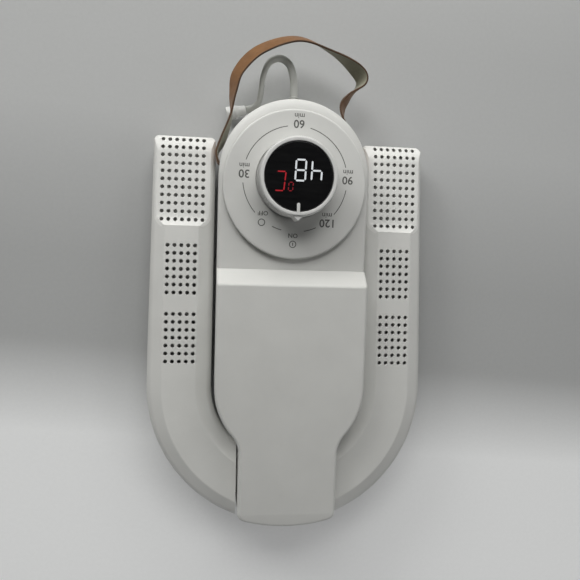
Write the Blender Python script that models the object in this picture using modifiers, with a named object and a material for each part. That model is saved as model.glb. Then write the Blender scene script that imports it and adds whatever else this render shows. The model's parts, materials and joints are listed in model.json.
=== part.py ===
"""A folding boot dryer, at rest on its back with its two arms folded beside the body.

Lengths are in millimetres and become metres in finish(). y runs along the body, from the hinge end (-) to
the strap end (+), and is measured from the dial's centre until the root empty moves it. z = 0 is the floor.
"""

import math

import bmesh
import bpy
from mathutils import Matrix, Vector

MM = 0.001
GAP = 0.3
WALL = 2.0
DIAL_Y = 62.55

# Body
BODY_HALF = 47.0
NECK_HALF = 31.0
TOP_ARC_Y = 2.4
SHOULDER_Y = -130.0
SHOULDER_R = 46.0
NECK_FILLET_Y = -173.0
SHOULDER_X = BODY_HALF - SHOULDER_R
SHOULDER_DROP = SHOULDER_Y - NECK_FILLET_Y
NECK_FILLET_R = ((NECK_HALF - SHOULDER_X) ** 2 + SHOULDER_DROP ** 2 - SHOULDER_R ** 2) / (
    2 * (BODY_HALF - NECK_HALF)
)
NECK_CORNER = (26.2, -210.2)
NECK_CORNER_R = 4.8
NECK_END_Y = -219.0
NECK_END_R = 96.0
BACK_Z = 2.0
SEAM_Z = 24.0
STEP_TOP_Y = -56.0
STEP_END_Y = -65.5
LOW_FRONT_Z = 42.0
HIGH_FRONT_Z = 45.0
COVER_FRONT_Z = 53.0
NECK_SLOPE_Y = -200.0
NECK_END_Z = 51.8
RAMP_START_Y = -50.0
RAMP_END_Y = 12.0

# Hinge of both arms, along X
HINGE_Y = -195.5
HINGE_Z = 24.0
TRUNNION_R = 10.5
TRUNNION_BORE_R = 8.5
BUSH_R = 12.5

# Arms: a quarter ring of the hinge end, then straight to the tip
ARM_INNER_X = 32.0
ARM_CENTRE_R = 69.5
ARM_RING_Y = -132.2
ARM_HALF = 20.5
ARM_STRIP_HALF = 10.8
ARM_FACET = math.radians(24)
ARM_EDGE_R = 6.0
ARM_SIDE_TAPER = 0.155
ARM_TAPER_Y = -110.0
ARM_BACK_Z = 6.0
ARM_FRONT_Z = 26.5
ARM_TAPER = 0.078
ARM_TILT = math.atan(ARM_TAPER)

# Arm tip: a hollow ramp down from the front strip, a lower face with the grille, and two bends to the end
RAMP_Y = -30.45
RAMP_TILT = math.radians(38)
FLAT_Y = -22.15
FLAT_TILT = math.radians(5)
RAMP_R = (FLAT_Y - RAMP_Y) / (math.sin(RAMP_TILT) - math.sin(FLAT_TILT))
BEND_Y = 16.2
BEND_R = 18.0
NOSE_TILT = math.radians(32)
NOSE_R = 7.5
NOSE_LOW_Z = 11.0
UNDER_R = 5.0
TIP_CORNER_Y = 24.6
TIP_CORNER_R = 3.5
PLATE_THICK = 1.2
LEDGE = 0.6
PLATE_LAST_TILT = math.radians(76)
WINDOW_HALF = 14.2

# Perforations
HOLE_SIDE = 2.2
HOLE_PITCH_X = 4.3
HOLE_PITCH_Y = 5.0
GRILLE_ROW_Y = -26.45
GRILLE_PITCH_Y = 5.12
VENT_ROWS_Y = (-72.9, -116.5)

# Dial and display
PANEL_CENTRE_Y = -4.8
PANEL_R = 44.7
PANEL_BACK_Z = 41.3
PANEL_FRONT_Z = 46.0
PANEL_HOLE_R = 22.8
RING_R = 24.0
RING_BORE_R = 20.9
RING_FRONT_Z = 64.0
SKIRT_R = 22.3
ROTOR_Z = (34.0, 37.0)
LENS_R = 20.4
LENS_Z = (62.3, 63.6)

# Blower and heater
FAN_Y = -100.0
FAN_HOUSING_R = 38.0
FAN_HOUSING_Z = (8.0, 41.5)
FAN_R = 31.0
HEATER_Y = (-156.0, -144.0)

# Strap and cord
STRAP_WIDTH = 12.5
STRAP_THICK = 1.3
STRAP_ANCHOR = (40.6, 9.6, 24.0)
STRAP_SLOT = ((43, 8.4, 17.2), (50, 12.4, 30.8))
CORD_R = 2.3
CORD_SIDES = 10


# ---------------------------------------------------------------- scene and collections

for old in list(bpy.data.objects):
    bpy.data.objects.remove(old, do_unlink=True)

PARTS = bpy.data.collections.new("boot_dryer")
CUTTERS = bpy.data.collections.new("cutters")
for collection in (PARTS, CUTTERS):
    bpy.context.scene.collection.children.link(collection)


def empty(name, place, parent=None):
    """An empty at a place in millimetres, which a body's pieces hang from."""
    frame = bpy.data.objects.new(name, None)
    frame.empty_display_size = 0.02
    frame.location = Vector(place) * MM
    frame.parent = parent
    PARTS.objects.link(frame)
    return frame


ROOT = empty("body_frame", (0, DIAL_Y, 0))
DIAL_AXIS = empty("dial_axis", (0, 0, 0), ROOT)
FAN_AXIS = empty("fan_axis", (0, FAN_Y, 0), ROOT)
ARM_AXES = {
    "left": empty("left_arm_hinge", (-ARM_INNER_X, HINGE_Y, HINGE_Z), ROOT),
    "right": empty("right_arm_hinge", (ARM_INNER_X, HINGE_Y, HINGE_Z), ROOT),
}
SIDES = {"left": -1, "right": 1}


def material(name, colour, roughness, metallic=0.0):
    made = bpy.data.materials.new(name)
    made.use_nodes = True
    shader = made.node_tree.nodes["Principled BSDF"]
    shader.inputs["Base Color"].default_value = (*colour, 1)
    shader.inputs["Roughness"].default_value = roughness
    shader.inputs["Metallic"].default_value = metallic
    return made


WHITE = material("white_shell", (0.72, 0.72, 0.70), 0.5)
PALE = material("pale_grille", (0.82, 0.82, 0.80), 0.45)
BLACK = material("black_lens", (0.01, 0.01, 0.012), 0.15)
DARK = material("dark_plastic", (0.04, 0.04, 0.045), 0.5)
GREY = material("grey_plastic", (0.28, 0.28, 0.29), 0.55)
GREEN = material("circuit_board", (0.03, 0.16, 0.08), 0.4)
CERAMIC = material("heater_ceramic", (0.55, 0.45, 0.36), 0.7)
STEEL = material("steel", (0.55, 0.55, 0.56), 0.3, 1.0)
RUBBER = material("rubber", (0.12, 0.12, 0.12), 0.85)
NYLON = material("nylon", (0.66, 0.65, 0.6), 0.4)
LEATHER = material("tan_leather", (0.26, 0.10, 0.035), 0.6)
CORD = material("cord_sheath", (0.68, 0.68, 0.63), 0.45)


# ---------------------------------------------------------------- helpers


def link(name, mesh, collection, parent=None):
    """An object whose mesh is given from the dial's centre, hung from a joint's empty."""
    obj = bpy.data.objects.new(name, mesh)
    obj.parent = parent or ROOT
    if obj.parent is not ROOT:
        obj.location = -obj.parent.location
    collection.objects.link(obj)
    return obj


def finish(name, bm, collection, parent=None, skin=None):
    """The object made from a bmesh in millimetres, closed, facing out and shaded smooth up to 35 degrees."""
    bmesh.ops.remove_doubles(bm, verts=bm.verts, dist=0.001)
    bmesh.ops.recalc_face_normals(bm, faces=bm.faces)
    bmesh.ops.scale(bm, verts=bm.verts, vec=(MM, MM, MM))
    mesh = bpy.data.meshes.new(name)
    bm.to_mesh(mesh)
    bm.free()
    mesh.shade_smooth()
    mesh.set_sharp_from_angle(angle=math.radians(35))
    obj = link(name, mesh, collection, parent)
    if skin:
        mesh.materials.append(skin)
    return obj


def part(name, bm, skin, parent=None):
    return finish(name, bm, PARTS, parent, skin)


def cutter(name, bm, parent=None):
    obj = finish(name, bm, CUTTERS, parent)
    obj.hide_render = True
    obj.display_type = "WIRE"
    return obj


def combine(target, operation, *tools):
    for tool in tools:
        boolean = target.modifiers.new(tool.name, "BOOLEAN")
        boolean.operation = operation
        boolean.solver = "EXACT"
        boolean.object = tool
    return target


def cut(target, *tools):
    return combine(target, "DIFFERENCE", *tools)


def join(target, *tools):
    return combine(target, "UNION", *tools)


def add_box(bm, low, high, spin=None):
    """A box between two corners, turned about its centre when spin is given."""
    low, high = Vector(low), Vector(high)
    place = Matrix.Translation((low + high) / 2) @ (spin or Matrix()) @ Matrix.Diagonal((*(high - low), 1))
    bmesh.ops.create_cube(bm, size=1, matrix=place)
    return bm


def add_rod(bm, start, end, radius, end_radius=None, sides=32):
    """A cylinder or cone between two points."""
    start, end = Vector(start), Vector(end)
    along = end - start
    turn = along.to_track_quat("Z", "Y").to_matrix().to_4x4()
    bmesh.ops.create_cone(
        bm,
        cap_ends=True,
        segments=sides,
        radius1=radius,
        radius2=radius if end_radius is None else end_radius,
        depth=along.length,
        matrix=Matrix.Translation((start + end) / 2) @ turn,
    )
    return bm


def box(low, high):
    return add_box(bmesh.new(), low, high)


def rod(start, end, radius, end_radius=None, sides=32):
    return add_rod(bmesh.new(), start, end, radius, end_radius, sides)


def loft(sections):
    """A closed skin through sections of as many points each, with a flat cap at both ends."""
    bm = bmesh.new()
    rings = [[bm.verts.new(point) for point in section] for section in sections]
    for first, second in zip(rings, rings[1:]):
        for i in range(len(first)):
            j = (i + 1) % len(first)
            bm.faces.new((first[i], first[j], second[j], second[i]))
    bm.faces.new(reversed(rings[0]))
    bm.faces.new(rings[-1])
    return bm


def turned(name, profile, skin, place, axis="Z", parent=None, sides=32):
    """A profile of (radius, height), outer side from top to bottom, turned about an axis through place."""
    mesh = bpy.data.meshes.new(name)
    points = [(r * MM, 0, h * MM) for r, h in profile]
    on_axis = profile[0][0] == 0
    edges = [(i, i + 1) for i in range(len(points) - 1)]
    if not on_axis:
        edges.append((len(points) - 1, 0))
    mesh.from_pydata(points, edges, [])
    mesh.materials.append(skin)
    obj = link(name, mesh, PARTS, parent)
    obj.location = obj.location + Vector(place) * MM
    quarter = math.radians(90)
    obj.rotation_euler = {"Z": (0, 0, 0), "Y": (-quarter, 0, 0), "X": (0, quarter, 0)}[axis]
    screw = obj.modifiers.new("turn", "SCREW")
    screw.steps = screw.render_steps = sides
    screw.use_merge_vertices = True
    screw.merge_threshold = 1e-5
    screw.use_smooth_shade = True
    return obj


def arc(centre, radius, start, end, steps):
    """Points on an arc, with its angles in degrees."""
    angles = [math.radians(start + (end - start) * i / steps) for i in range(steps + 1)]
    return [(centre[0] + radius * math.cos(a), centre[1] + radius * math.sin(a)) for a in angles]


# ---------------------------------------------------------------- body shells


def end_points(inset):
    """Right half of the rounded end, from the middle to the straight side."""
    return arc((0, TOP_ARC_Y), BODY_HALF - inset, 90, 0, 10)


def tail_points(inset):
    """Right half of the shoulder, neck and neck end, down to the middle."""
    fillet_x = NECK_HALF + NECK_FILLET_R
    lean = math.degrees(math.atan2(SHOULDER_DROP, fillet_x - SHOULDER_X))
    shoulder = arc((SHOULDER_X, SHOULDER_Y), SHOULDER_R - inset, 0, -lean, 5)
    fillet = arc((fillet_x, NECK_FILLET_Y), NECK_FILLET_R + inset, 180 - lean, 180, 4)[1:]
    corner = arc(NECK_CORNER, max(0.5, NECK_CORNER_R - inset), 0, -72, 3)
    end_angle = -90 + math.degrees(math.asin(NECK_CORNER[0] / NECK_END_R))
    end = arc((0, NECK_END_Y + NECK_END_R), NECK_END_R - inset, end_angle, -90, 3)
    return shoulder + fillet + corner + end


def whole_outline(inset):
    return end_points(inset) + tail_points(inset)


def front_outline(inset):
    side = [(BODY_HALF - inset, y) for y in (RAMP_START_Y, STEP_TOP_Y - GAP / 2)]
    return end_points(inset) + side


def cover_outline(inset):
    side = [(BODY_HALF - inset, y) for y in (STEP_TOP_Y - GAP * 1.5, STEP_END_Y)]
    return side + tail_points(inset)


def pillow(outline, levels, height):
    """A closed body over a half outline: levels are (inset, drop), and height(y) is its top surface."""
    bm = bmesh.new()
    rows = []
    for inset, drop in levels:
        half = outline(inset)
        tops = [drop if isinstance(drop, float) else height(y) - drop[0] for x, y in half]
        right = [bm.verts.new((x, y, z)) for (x, y), z in zip(half, tops)]
        left = [bm.verts.new((-x, y, z)) for (x, y), z in zip(half, tops)]
        rows.append((right, left))
    count = len(rows[0][0])
    for (right, left), (next_right, next_left) in zip(rows, rows[1:]):
        for i in range(count - 1):
            bm.faces.new((right[i], right[i + 1], next_right[i + 1], next_right[i]))
            bm.faces.new((left[i + 1], left[i], next_left[i], next_left[i + 1]))
        bm.faces.new((left[0], right[0], next_right[0], next_left[0]))
        bm.faces.new((right[-1], left[-1], next_left[-1], next_right[-1]))
    for right, left in (rows[0], rows[-1]):
        for i in range(count - 1):
            bm.faces.new((right[i], right[i + 1], left[i + 1], left[i]))
    bmesh.ops.remove_doubles(bm, verts=bm.verts, dist=0.001)
    return bm


def front_height(y):
    """The low front face: flat by the step, then a slight ramp up to the rounded end."""
    share = (y - RAMP_START_Y) / (RAMP_END_Y - RAMP_START_Y)
    return LOW_FRONT_Z + (HIGH_FRONT_Z - LOW_FRONT_Z) * min(1, max(0, share))


def cover_height(y):
    """The cover's front face: up the step, level, then a slight fall to the neck's end."""
    if y > STEP_END_Y:
        return LOW_FRONT_Z + (COVER_FRONT_Z - LOW_FRONT_Z) * (STEP_TOP_Y - y) / (STEP_TOP_Y - STEP_END_Y)
    share = (NECK_SLOPE_Y - y) / (NECK_SLOPE_Y - NECK_END_Y)
    return COVER_FRONT_Z - (COVER_FRONT_Z - NECK_END_Z) * max(0, share) ** 2


SHELL_LEVELS = ((0, SEAM_Z + GAP / 2), (0, (3.4,)), (1.0, (1.0,)), (3.4, (0.0,)))
BACK_LEVELS = ((0, SEAM_Z - GAP / 2), (0, 7.6), (1.6, 3.6), (3.6, BACK_Z))
SCREW_PLACES = [(side * x, y) for x, y in ((27, 28), (38, -72), (36, -141)) for side in (-1, 1)]


def hinge_rod(radius, reach, name):
    """A cutter along the hinge axis, through both sides of the neck."""
    return cutter(name, rod((-reach, HINGE_Y, HINGE_Z), (reach, HINGE_Y, HINGE_Z), radius, sides=24))


def strap_slots():
    """Slots in both side walls, across the seam, for the strap's ends."""
    slots = bmesh.new()
    low, high = STRAP_SLOT
    add_box(slots, low, high)
    add_box(slots, (-high[0], *low[1:]), (-low[0], *high[1:]))
    return cutter("strap_slots", slots)


NECK_BORE = hinge_rod(BUSH_R + GAP, NECK_HALF + 4, "neck_bore")
STRAP_SLOTS = strap_slots()


def add_bosses(shell, places, top):
    """Screw bosses from a front shell down to just above the back cover's floor, with a blind bore each."""
    bosses = bmesh.new()
    bores = bmesh.new()
    for x, y in places:
        add_rod(bosses, (x, y, BACK_Z + WALL + GAP), (x, y, top), 3.6, sides=10)
        add_rod(bores, (x, y, BACK_Z), (x, y, top - 12), 1.7, sides=8)
    join(shell, cutter(shell.name + "_bosses", bosses))
    cut(shell, cutter(shell.name + "_bores", bores))


def make_front_shell():
    shell = part("front_shell", pillow(front_outline, SHELL_LEVELS, front_height), WHITE)
    inside = ((WALL, SEAM_Z - 4), (WALL, 38.0 - 2), (WALL + 1.5, 38.5))

    def open_outline(inset):
        return end_points(inset) + [(BODY_HALF - inset, STEP_TOP_Y - 4)]

    cut(shell, cutter("front_cavity", pillow(open_outline, inside, front_height)))
    centre = (0, PANEL_CENTRE_Y)
    seat = rod((*centre, PANEL_BACK_Z - GAP), (*centre, 60), PANEL_R + GAP, sides=48)
    cut(shell, cutter("panel_seat", seat))
    cut(shell, cutter("ring_hole", rod((0, 0, 30), (0, 0, 60), PANEL_HOLE_R, sides=40)))
    cut(shell, STRAP_SLOTS)
    add_bosses(shell, SCREW_PLACES[:2], 40)


def make_heater_cover():
    cover = part("heater_cover", pillow(cover_outline, SHELL_LEVELS, cover_height), WHITE)

    def open_outline(inset):
        side = [(BODY_HALF - inset, y) for y in (STEP_TOP_Y + 4, STEP_TOP_Y - 1, STEP_END_Y - 1)]
        return side + tail_points(inset)

    def inner_height(y):
        return cover_height(min(y, STEP_TOP_Y - 1)) - WALL - 0.4

    inside = ((WALL, SEAM_Z - 4), (WALL, (2.0,)), (WALL + 1.6, (0.0,)))
    cut(cover, cutter("cover_cavity", pillow(open_outline, inside, inner_height)))
    cut(cover, NECK_BORE)
    add_bosses(cover, SCREW_PLACES[2:], 51)


def make_back_cover():
    cover = part("back_cover", pillow(whole_outline, BACK_LEVELS, None), WHITE)
    inside = ((WALL, SEAM_Z + 4), (WALL, 8.0), (WALL + 2.6, BACK_Z + WALL))
    cut(cover, cutter("back_cavity", pillow(whole_outline, inside, None)))
    cut(cover, NECK_BORE, STRAP_SLOTS)
    cut(cover, cutter("intake_hole", rod((0, FAN_Y, 0), (0, FAN_Y, 6), 24 + GAP, sides=32)))
    recesses = bmesh.new()
    holes = bmesh.new()
    for x, y in SCREW_PLACES:
        add_rod(recesses, (x, y, 0), (x, y, BACK_Z + 1.2), 3.3, sides=10)
        add_rod(holes, (x, y, 0), (x, y, 6), 1.7, sides=8)
    cut(cover, cutter("head_recesses", recesses), cutter("screw_holes", holes))


def make_intake_grille():
    """A round grille that fills the back cover's hole, with a row of slots."""
    grille = part("intake_grille", rod((0, FAN_Y, BACK_Z), (0, FAN_Y, BACK_Z + WALL), 24, sides=32), GREY)
    slots = bmesh.new()
    for i in range(-3, 4):
        reach = math.sqrt(21 ** 2 - (i * 6) ** 2)
        add_box(slots, (i * 6 - 1.6, FAN_Y - reach, 0), (i * 6 + 1.6, FAN_Y + reach, 8))
    cut(grille, cutter("intake_slots", slots))


def make_feet():
    for end, y in (("top", 22), ("neck", -122)):
        for side, sign in SIDES.items():
            profile = [(0, 1.7), (6, 1.7), (6.6, 0.9), (6.2, 0), (0, 0)]
            turned(f"{side}_{end}_foot", profile, RUBBER, (sign * 32, y, 0), sides=16)


def make_body_screws():
    for number, (x, y) in enumerate(SCREW_PLACES, 1):
        screw = [(0, 22), (1.4, 20), (1.4, 2.95), (2.9, 2.95), (2.9, 2.1), (0, 2.1)]
        turned(f"body_screw_{number}", screw, STEEL, (x, y, 0), sides=8)


# ---------------------------------------------------------------- dial and display


def make_dial_panel():
    """The raised round plate with a small bevel, bored off-centre for the turning ring."""
    low, high = PANEL_BACK_Z, PANEL_FRONT_Z
    plate = rod((0, PANEL_CENTRE_Y, low), (0, PANEL_CENTRE_Y, high - 1), PANEL_R, sides=48)
    panel = part("dial_panel", plate, WHITE)
    crown = rod((0, PANEL_CENTRE_Y, high - 1.01), (0, PANEL_CENTRE_Y, high), PANEL_R, PANEL_R - 1, sides=48)
    join(panel, cutter("panel_crown", crown))
    cut(panel, cutter("panel_hole", rod((0, 0, low - 2), (0, 0, high + 2), PANEL_HOLE_R, sides=40)))


def make_knob():
    """The turning ring: skirt through the panel, knurled grip, pointer nub and index bar over the lens."""
    outline = [
        (RING_BORE_R, RING_FRONT_Z),
        (RING_R - 1, RING_FRONT_Z),
        (RING_R, RING_FRONT_Z - 1),
        (RING_R, PANEL_FRONT_Z + GAP),
        (SKIRT_R, PANEL_FRONT_Z + GAP),
        (SKIRT_R, ROTOR_Z[1] + GAP),
        (RING_BORE_R, ROTOR_Z[1] + GAP),
    ]
    ring = turned("knob_ring", outline, WHITE, (0, 0, 0), parent=DIAL_AXIS, sides=40)
    nub = loft(
        [
            [(-3.2, -RING_R + 1.2, z), (3.2, -RING_R + 1.2, z), (0, -RING_R - 2.6, z)]
            for z in (PANEL_FRONT_Z + 3, RING_FRONT_Z - 1)
        ]
    )
    bar = box((-0.9, -RING_BORE_R - 1.5, RING_FRONT_Z - 0.25), (0.9, -15.5, RING_FRONT_Z + 0.5))
    join(ring, cutter("knob_nub", nub, DIAL_AXIS), cutter("knob_bar", bar, DIAL_AXIS))
    rotor = [(SKIRT_R - 1.4, ROTOR_Z[1]), (26, ROTOR_Z[1]), (26, ROTOR_Z[0]), (SKIRT_R - 1.4, ROTOR_Z[0])]
    turned("knob_rotor", rotor, NYLON, (0, 0, 0), parent=DIAL_AXIS, sides=32)


def make_display():
    tube = [(18.6, 61.8), (LENS_R, 61.8), (LENS_R, 30), (18.6, 30)]
    turned("display_pedestal", tube, DARK, (0, 0, 0), sides=40)
    lens = [(0, LENS_Z[1]), (LENS_R - 0.3, LENS_Z[1]), (LENS_R, LENS_Z[1] - 0.3), (LENS_R, LENS_Z[0])]
    turned("display_lens", lens + [(0, LENS_Z[0])], BLACK, (0, 0, 0), sides=40)
    part("display_module", box((-13, -9.5, 54), (13, 9.5, 61.5)), DARK)


def make_boards():
    part("control_board", rod((0, 0, 28), (0, 0, 29.6), 33, sides=32), GREEN)
    board = part("power_board", box((-30, -52, 10), (30, -14, 11.6)), GREEN)
    blocks = bmesh.new()
    for low, high in (
        ((-26, -48, 11), (-10, -30, 23)),
        ((-4, -46, 11), (10, -36, 19)),
        ((14, -46, 11), (24, -24, 21)),
    ):
        add_box(blocks, low, high)
    add_rod(blocks, (-2, -24, 11), (-2, -24, 22), 5, sides=16)
    join(board, cutter("power_parts", blocks))


# ---------------------------------------------------------------- blower, heater and duct


def make_blower():
    low, high = FAN_HOUSING_Z
    housing = part("blower_housing", rod((0, FAN_Y, low), (0, FAN_Y, high), FAN_HOUSING_R, sides=32), GREY)
    join(housing, cutter("outlet", box((-26, -141, low), (26, FAN_Y, high))))
    chamber = rod((0, FAN_Y, low + 1.8), (0, FAN_Y, high - 1.8), FAN_HOUSING_R - 1.8, sides=32)
    passage = box((-24.2, -145, low + 1.8), (24.2, FAN_Y, high - 1.8))
    eye = rod((0, FAN_Y, 0), (0, FAN_Y, 20), 20, sides=32)
    shaft_hole = rod((0, FAN_Y, 30), (0, FAN_Y, 50), 3, sides=24)
    cut(housing, cutter("chamber", chamber), cutter("passage", passage))
    cut(housing, cutter("fan_eye", eye), cutter("shaft_hole", shaft_hole))


def make_fan():
    """A centrifugal impeller on its shaft, below the motor."""
    impeller = part("impeller", rod((0, FAN_Y, 35), (0, FAN_Y, 37), FAN_R, sides=32), DARK, FAN_AXIS)
    vanes = bmesh.new()
    for i in range(12):
        turn = Matrix.Rotation(math.tau * i / 12, 4, "Z")
        middle = turn @ Vector((25, 0, 0)) + Vector((0, FAN_Y, 23))
        size = Vector((5, 0.8, 12.5))
        add_box(vanes, middle - size, middle + size, turn @ Matrix.Rotation(math.radians(35), 4, "Z"))
    hub = rod((0, FAN_Y, 26), (0, FAN_Y, 36), 6, sides=24)
    join(impeller, cutter("vanes", vanes, FAN_AXIS), cutter("hub", hub, FAN_AXIS))
    cut(impeller, cutter("hub_bore", rod((0, FAN_Y, 20), (0, FAN_Y, 40), 2.5, sides=24), FAN_AXIS))
    part("fan_shaft", rod((0, FAN_Y, 27), (0, FAN_Y, 41.7), 2.2, sides=20), STEEL, FAN_AXIS)
    part("fan_motor", rod((0, FAN_Y, 42), (0, FAN_Y, 49.5), 14, sides=32), STEEL)


def make_heater():
    start, end = HEATER_Y
    core = part("heater_core", box((-24, start, 12), (24, end, 38)), CERAMIC)
    slots = bmesh.new()
    for i in range(-3, 4):
        add_box(slots, (i * 6.4 - 2.2, start - 2, 14), (i * 6.4 + 2.2, end + 2, 36))
    cut(core, cutter("heater_slots", slots))
    frame = part("heater_frame", box((-26.5, start - 1, 9.5), (26.5, end + 1, 40.5)), GREY)
    cut(frame, cutter("heater_window", box((-24.3, start - 3, 11.7), (24.3, end + 3, 38.3))))


def make_duct():
    """From the heater to a cross tube on the hinge axis, which feeds both hollow trunnions."""
    mouth_y = HEATER_Y[0] - 1.6

    def funnel(wall):
        ends = ((mouth_y + (2 if wall else 0), 26, 10, 40), (HINGE_Y, 17, 17, 31))
        return loft(
            [
                [
                    (-half + wall, y, low + wall),
                    (half - wall, y, low + wall),
                    (half - wall, y, high - wall),
                    (-half + wall, y, high - wall),
                ]
                for y, half, low, high in ends
            ]
        )

    duct = part("air_duct", funnel(0), GREY)
    reach = 21.3
    ends = ((-reach, HINGE_Y, HINGE_Z), (reach, HINGE_Y, HINGE_Z))
    join(duct, cutter("cross_tube", rod(*ends, TRUNNION_R, sides=32)))
    cut(duct, cutter("funnel_inside", funnel(1.6)), hinge_rod(TRUNNION_BORE_R, reach + 4, "cross_bore"))
    cutout = [(0, 46), (6, 46), (6, 41.5), (0, 41.5)]
    turned("thermal_cutout", cutout, STEEL, (0, -164, -0.6), sides=20)


def make_bushes():
    for side, sign in SIDES.items():
        sleeve = [(TRUNNION_R + GAP, 3.3), (BUSH_R, 3.3), (BUSH_R, -3.3), (TRUNNION_R + GAP, -3.3)]
        turned(f"{side}_hinge_bush", sleeve, NYLON, (sign * 27.4, HINGE_Y, HINGE_Z), axis="X", sides=24)


# ---------------------------------------------------------------- arms


def arm_front(y):
    """Height of the arm's front face, which falls towards the tip."""
    return ARM_FRONT_Z - ARM_TAPER * y


def arm_seam(y):
    return (arm_front(y) + ARM_BACK_Z) / 2


def normal_at(tilt):
    """Outward normal of a front face that falls towards the tip by an angle."""
    return Vector((0, math.sin(tilt), math.cos(tilt)))


def tip_frames():
    """(point, offset direction, tilt) down the tip's front line, from above the ramp to the end."""
    ramp = Vector((0, RAMP_Y, arm_front(RAMP_Y)))
    back = Vector((0, -math.cos(RAMP_TILT), math.sin(RAMP_TILT))) * 1.5
    frames = [(ramp + back, normal_at(RAMP_TILT), RAMP_TILT)]
    centre = ramp + normal_at(RAMP_TILT) * RAMP_R
    ramp_steps = 4
    for i in range(ramp_steps + 1):
        tilt = RAMP_TILT + (FLAT_TILT - RAMP_TILT) * i / ramp_steps
        frames.append((centre - normal_at(tilt) * RAMP_R, normal_at(tilt), tilt))
    flat = frames[-1][0]
    bend = flat + Vector((0, 1, -math.tan(FLAT_TILT))) * (BEND_Y - FLAT_Y)
    centre = bend - normal_at(FLAT_TILT) * BEND_R
    steps = 3
    for i in range(steps):
        tilt = FLAT_TILT + (NOSE_TILT - FLAT_TILT) * i / steps
        frames.append((centre + normal_at(tilt) * BEND_R, normal_at(tilt), tilt))
    centre += normal_at(NOSE_TILT) * (BEND_R - NOSE_R)
    for tilt in (NOSE_TILT, math.radians(54), PLATE_LAST_TILT, math.radians(90)):
        frames.append((centre + normal_at(tilt) * NOSE_R, normal_at(tilt), tilt))
    return frames


TIP_FRAMES = tip_frames()
TIP_END_Y = TIP_FRAMES[-1][0].y


def prism(sign, points):
    """A body as wide as an arm and more, through (y, z) points."""
    middle, reach = sign * ARM_CENTRE_R, ARM_HALF + 30
    return loft([[(x, y, z) for y, z in points] for x in (middle - reach, middle + reach)])


def tip_profile(inset):
    """(y, z) round everything behind and below the tip's front line and above its rounded underside."""
    start = TIP_FRAMES[0][0]
    points = [(-250, 0), (-250, 70), (start.y, 70)]
    points += [(place.y, place.z) for place in (point - way * inset for point, way, tilt in TIP_FRAMES)]
    for degrees in (0, 30, 60, 84):
        a = math.radians(degrees)
        reach = UNDER_R - inset
        points.append((TIP_END_Y - UNDER_R + reach * math.cos(a), NOSE_LOW_Z - reach * math.sin(a)))
    return points + [(TIP_END_Y - 20, 0)]


def arm_stations(inset):
    """(centre, direction across, half width, front height or None) from the hinge to past the tip."""
    stations = []
    for i in range(8):
        a = math.radians(-76 + 76 * i / 7)
        across = Vector((math.cos(a), math.sin(a), 0))
        stations.append((Vector((0, ARM_RING_Y, 0)) + across * ARM_CENTRE_R, across, ARM_HALF, None))
    across = Vector((1, 0, 0))
    for y in (-85, -30, TIP_CORNER_Y):
        stations.append((Vector((ARM_CENTRE_R, y, 0)), across, ARM_HALF, None))
    narrow = ARM_HALF - TIP_CORNER_R + inset
    for degrees, height in ((30, 20.9), (58, 17.4), (80, 16.2), (90, 15.9)):
        a = math.radians(degrees)
        y = TIP_CORNER_Y + (TIP_CORNER_R - inset) * math.sin(a)
        half = narrow + (TIP_CORNER_R - inset) * math.cos(a)
        stations.append((Vector((ARM_CENTRE_R, y, 0)), across, half, height))
    stations.append((Vector((ARM_CENTRE_R, TIP_END_Y + 1 - inset, 0)), across, narrow, 15.8))
    return stations


def arm_quarter(half, strip):
    """(distance across, drop) from the strip's edge down the facet and round into the side."""
    slope = math.tan(ARM_FACET)
    radius = min(ARM_EDGE_R, (half - strip) * 0.8)
    reach = radius * math.tan(math.radians(45) - ARM_FACET / 2)
    drop = (half - strip) * slope
    points = [(strip, 0), (half - reach * math.cos(ARM_FACET), drop - reach * math.sin(ARM_FACET))]
    middle = (math.pi / 2 + ARM_FACET) / 2
    centre = drop + reach
    points.append((half - radius + radius * math.sin(middle), centre - radius * math.cos(middle)))
    return points + [(half, centre)]


def arm_section(station, inset, sign):
    """Points round one station: a flat strip in front and behind, sloping facets and rounded sides."""
    centre, across, half, front = station
    half -= inset
    quarter = arm_quarter(half, ARM_STRIP_HALF - inset * math.tan(ARM_FACET / 2))
    right = [(s, drop, 1) for s, drop in quarter] + [(s, drop, -1) for s, drop in reversed(quarter)]
    points = []
    for s, drop, way in right + [(-s, drop, way) for s, drop, way in reversed(right)]:
        reach = min(1, max(0, (centre.y - ARM_TAPER_Y) / (TIP_CORNER_Y - ARM_TAPER_Y)))
        beyond = max(0, s - ARM_STRIP_HALF)
        place = centre + across * (s - beyond * ARM_SIDE_TAPER * reach)
        top = (arm_front(place.y) if front is None else front) - inset
        low = ARM_BACK_Z + inset
        share = min(1, (top - low) * 0.49 / quarter[-1][1])
        z = top - drop * share if way > 0 else low + drop * share
        points.append((place.x * sign, place.y, z))
    return points


def arm_loft(inset, sign):
    """The arm's full section from the hinge to past the tip, before its tip is cut to shape."""
    return loft([arm_section(station, inset, sign) for station in arm_stations(inset)])


def seam_block(name, sign, above):
    """A big block on one side of the arm's sloping seam, for cutting away that half."""
    tilt = Matrix.Rotation(-math.atan(ARM_TAPER / 2), 4, "X")
    shift = (GAP / 2) if not above else -(GAP / 2)
    centre = Vector((sign * 60, HINGE_Y + 100, arm_seam(HINGE_Y + 100) + shift))
    offset = Vector((0, 0, 30 if above else -30))
    block = bmesh.new()
    bmesh.ops.create_cube(block, size=1, matrix=Matrix.Diagonal((90, 300, 60, 1)))
    bmesh.ops.translate(block, verts=block.verts, vec=offset)
    bmesh.ops.transform(block, verts=block.verts, matrix=Matrix.Translation(centre) @ tilt)
    return cutter(name, block)


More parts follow.
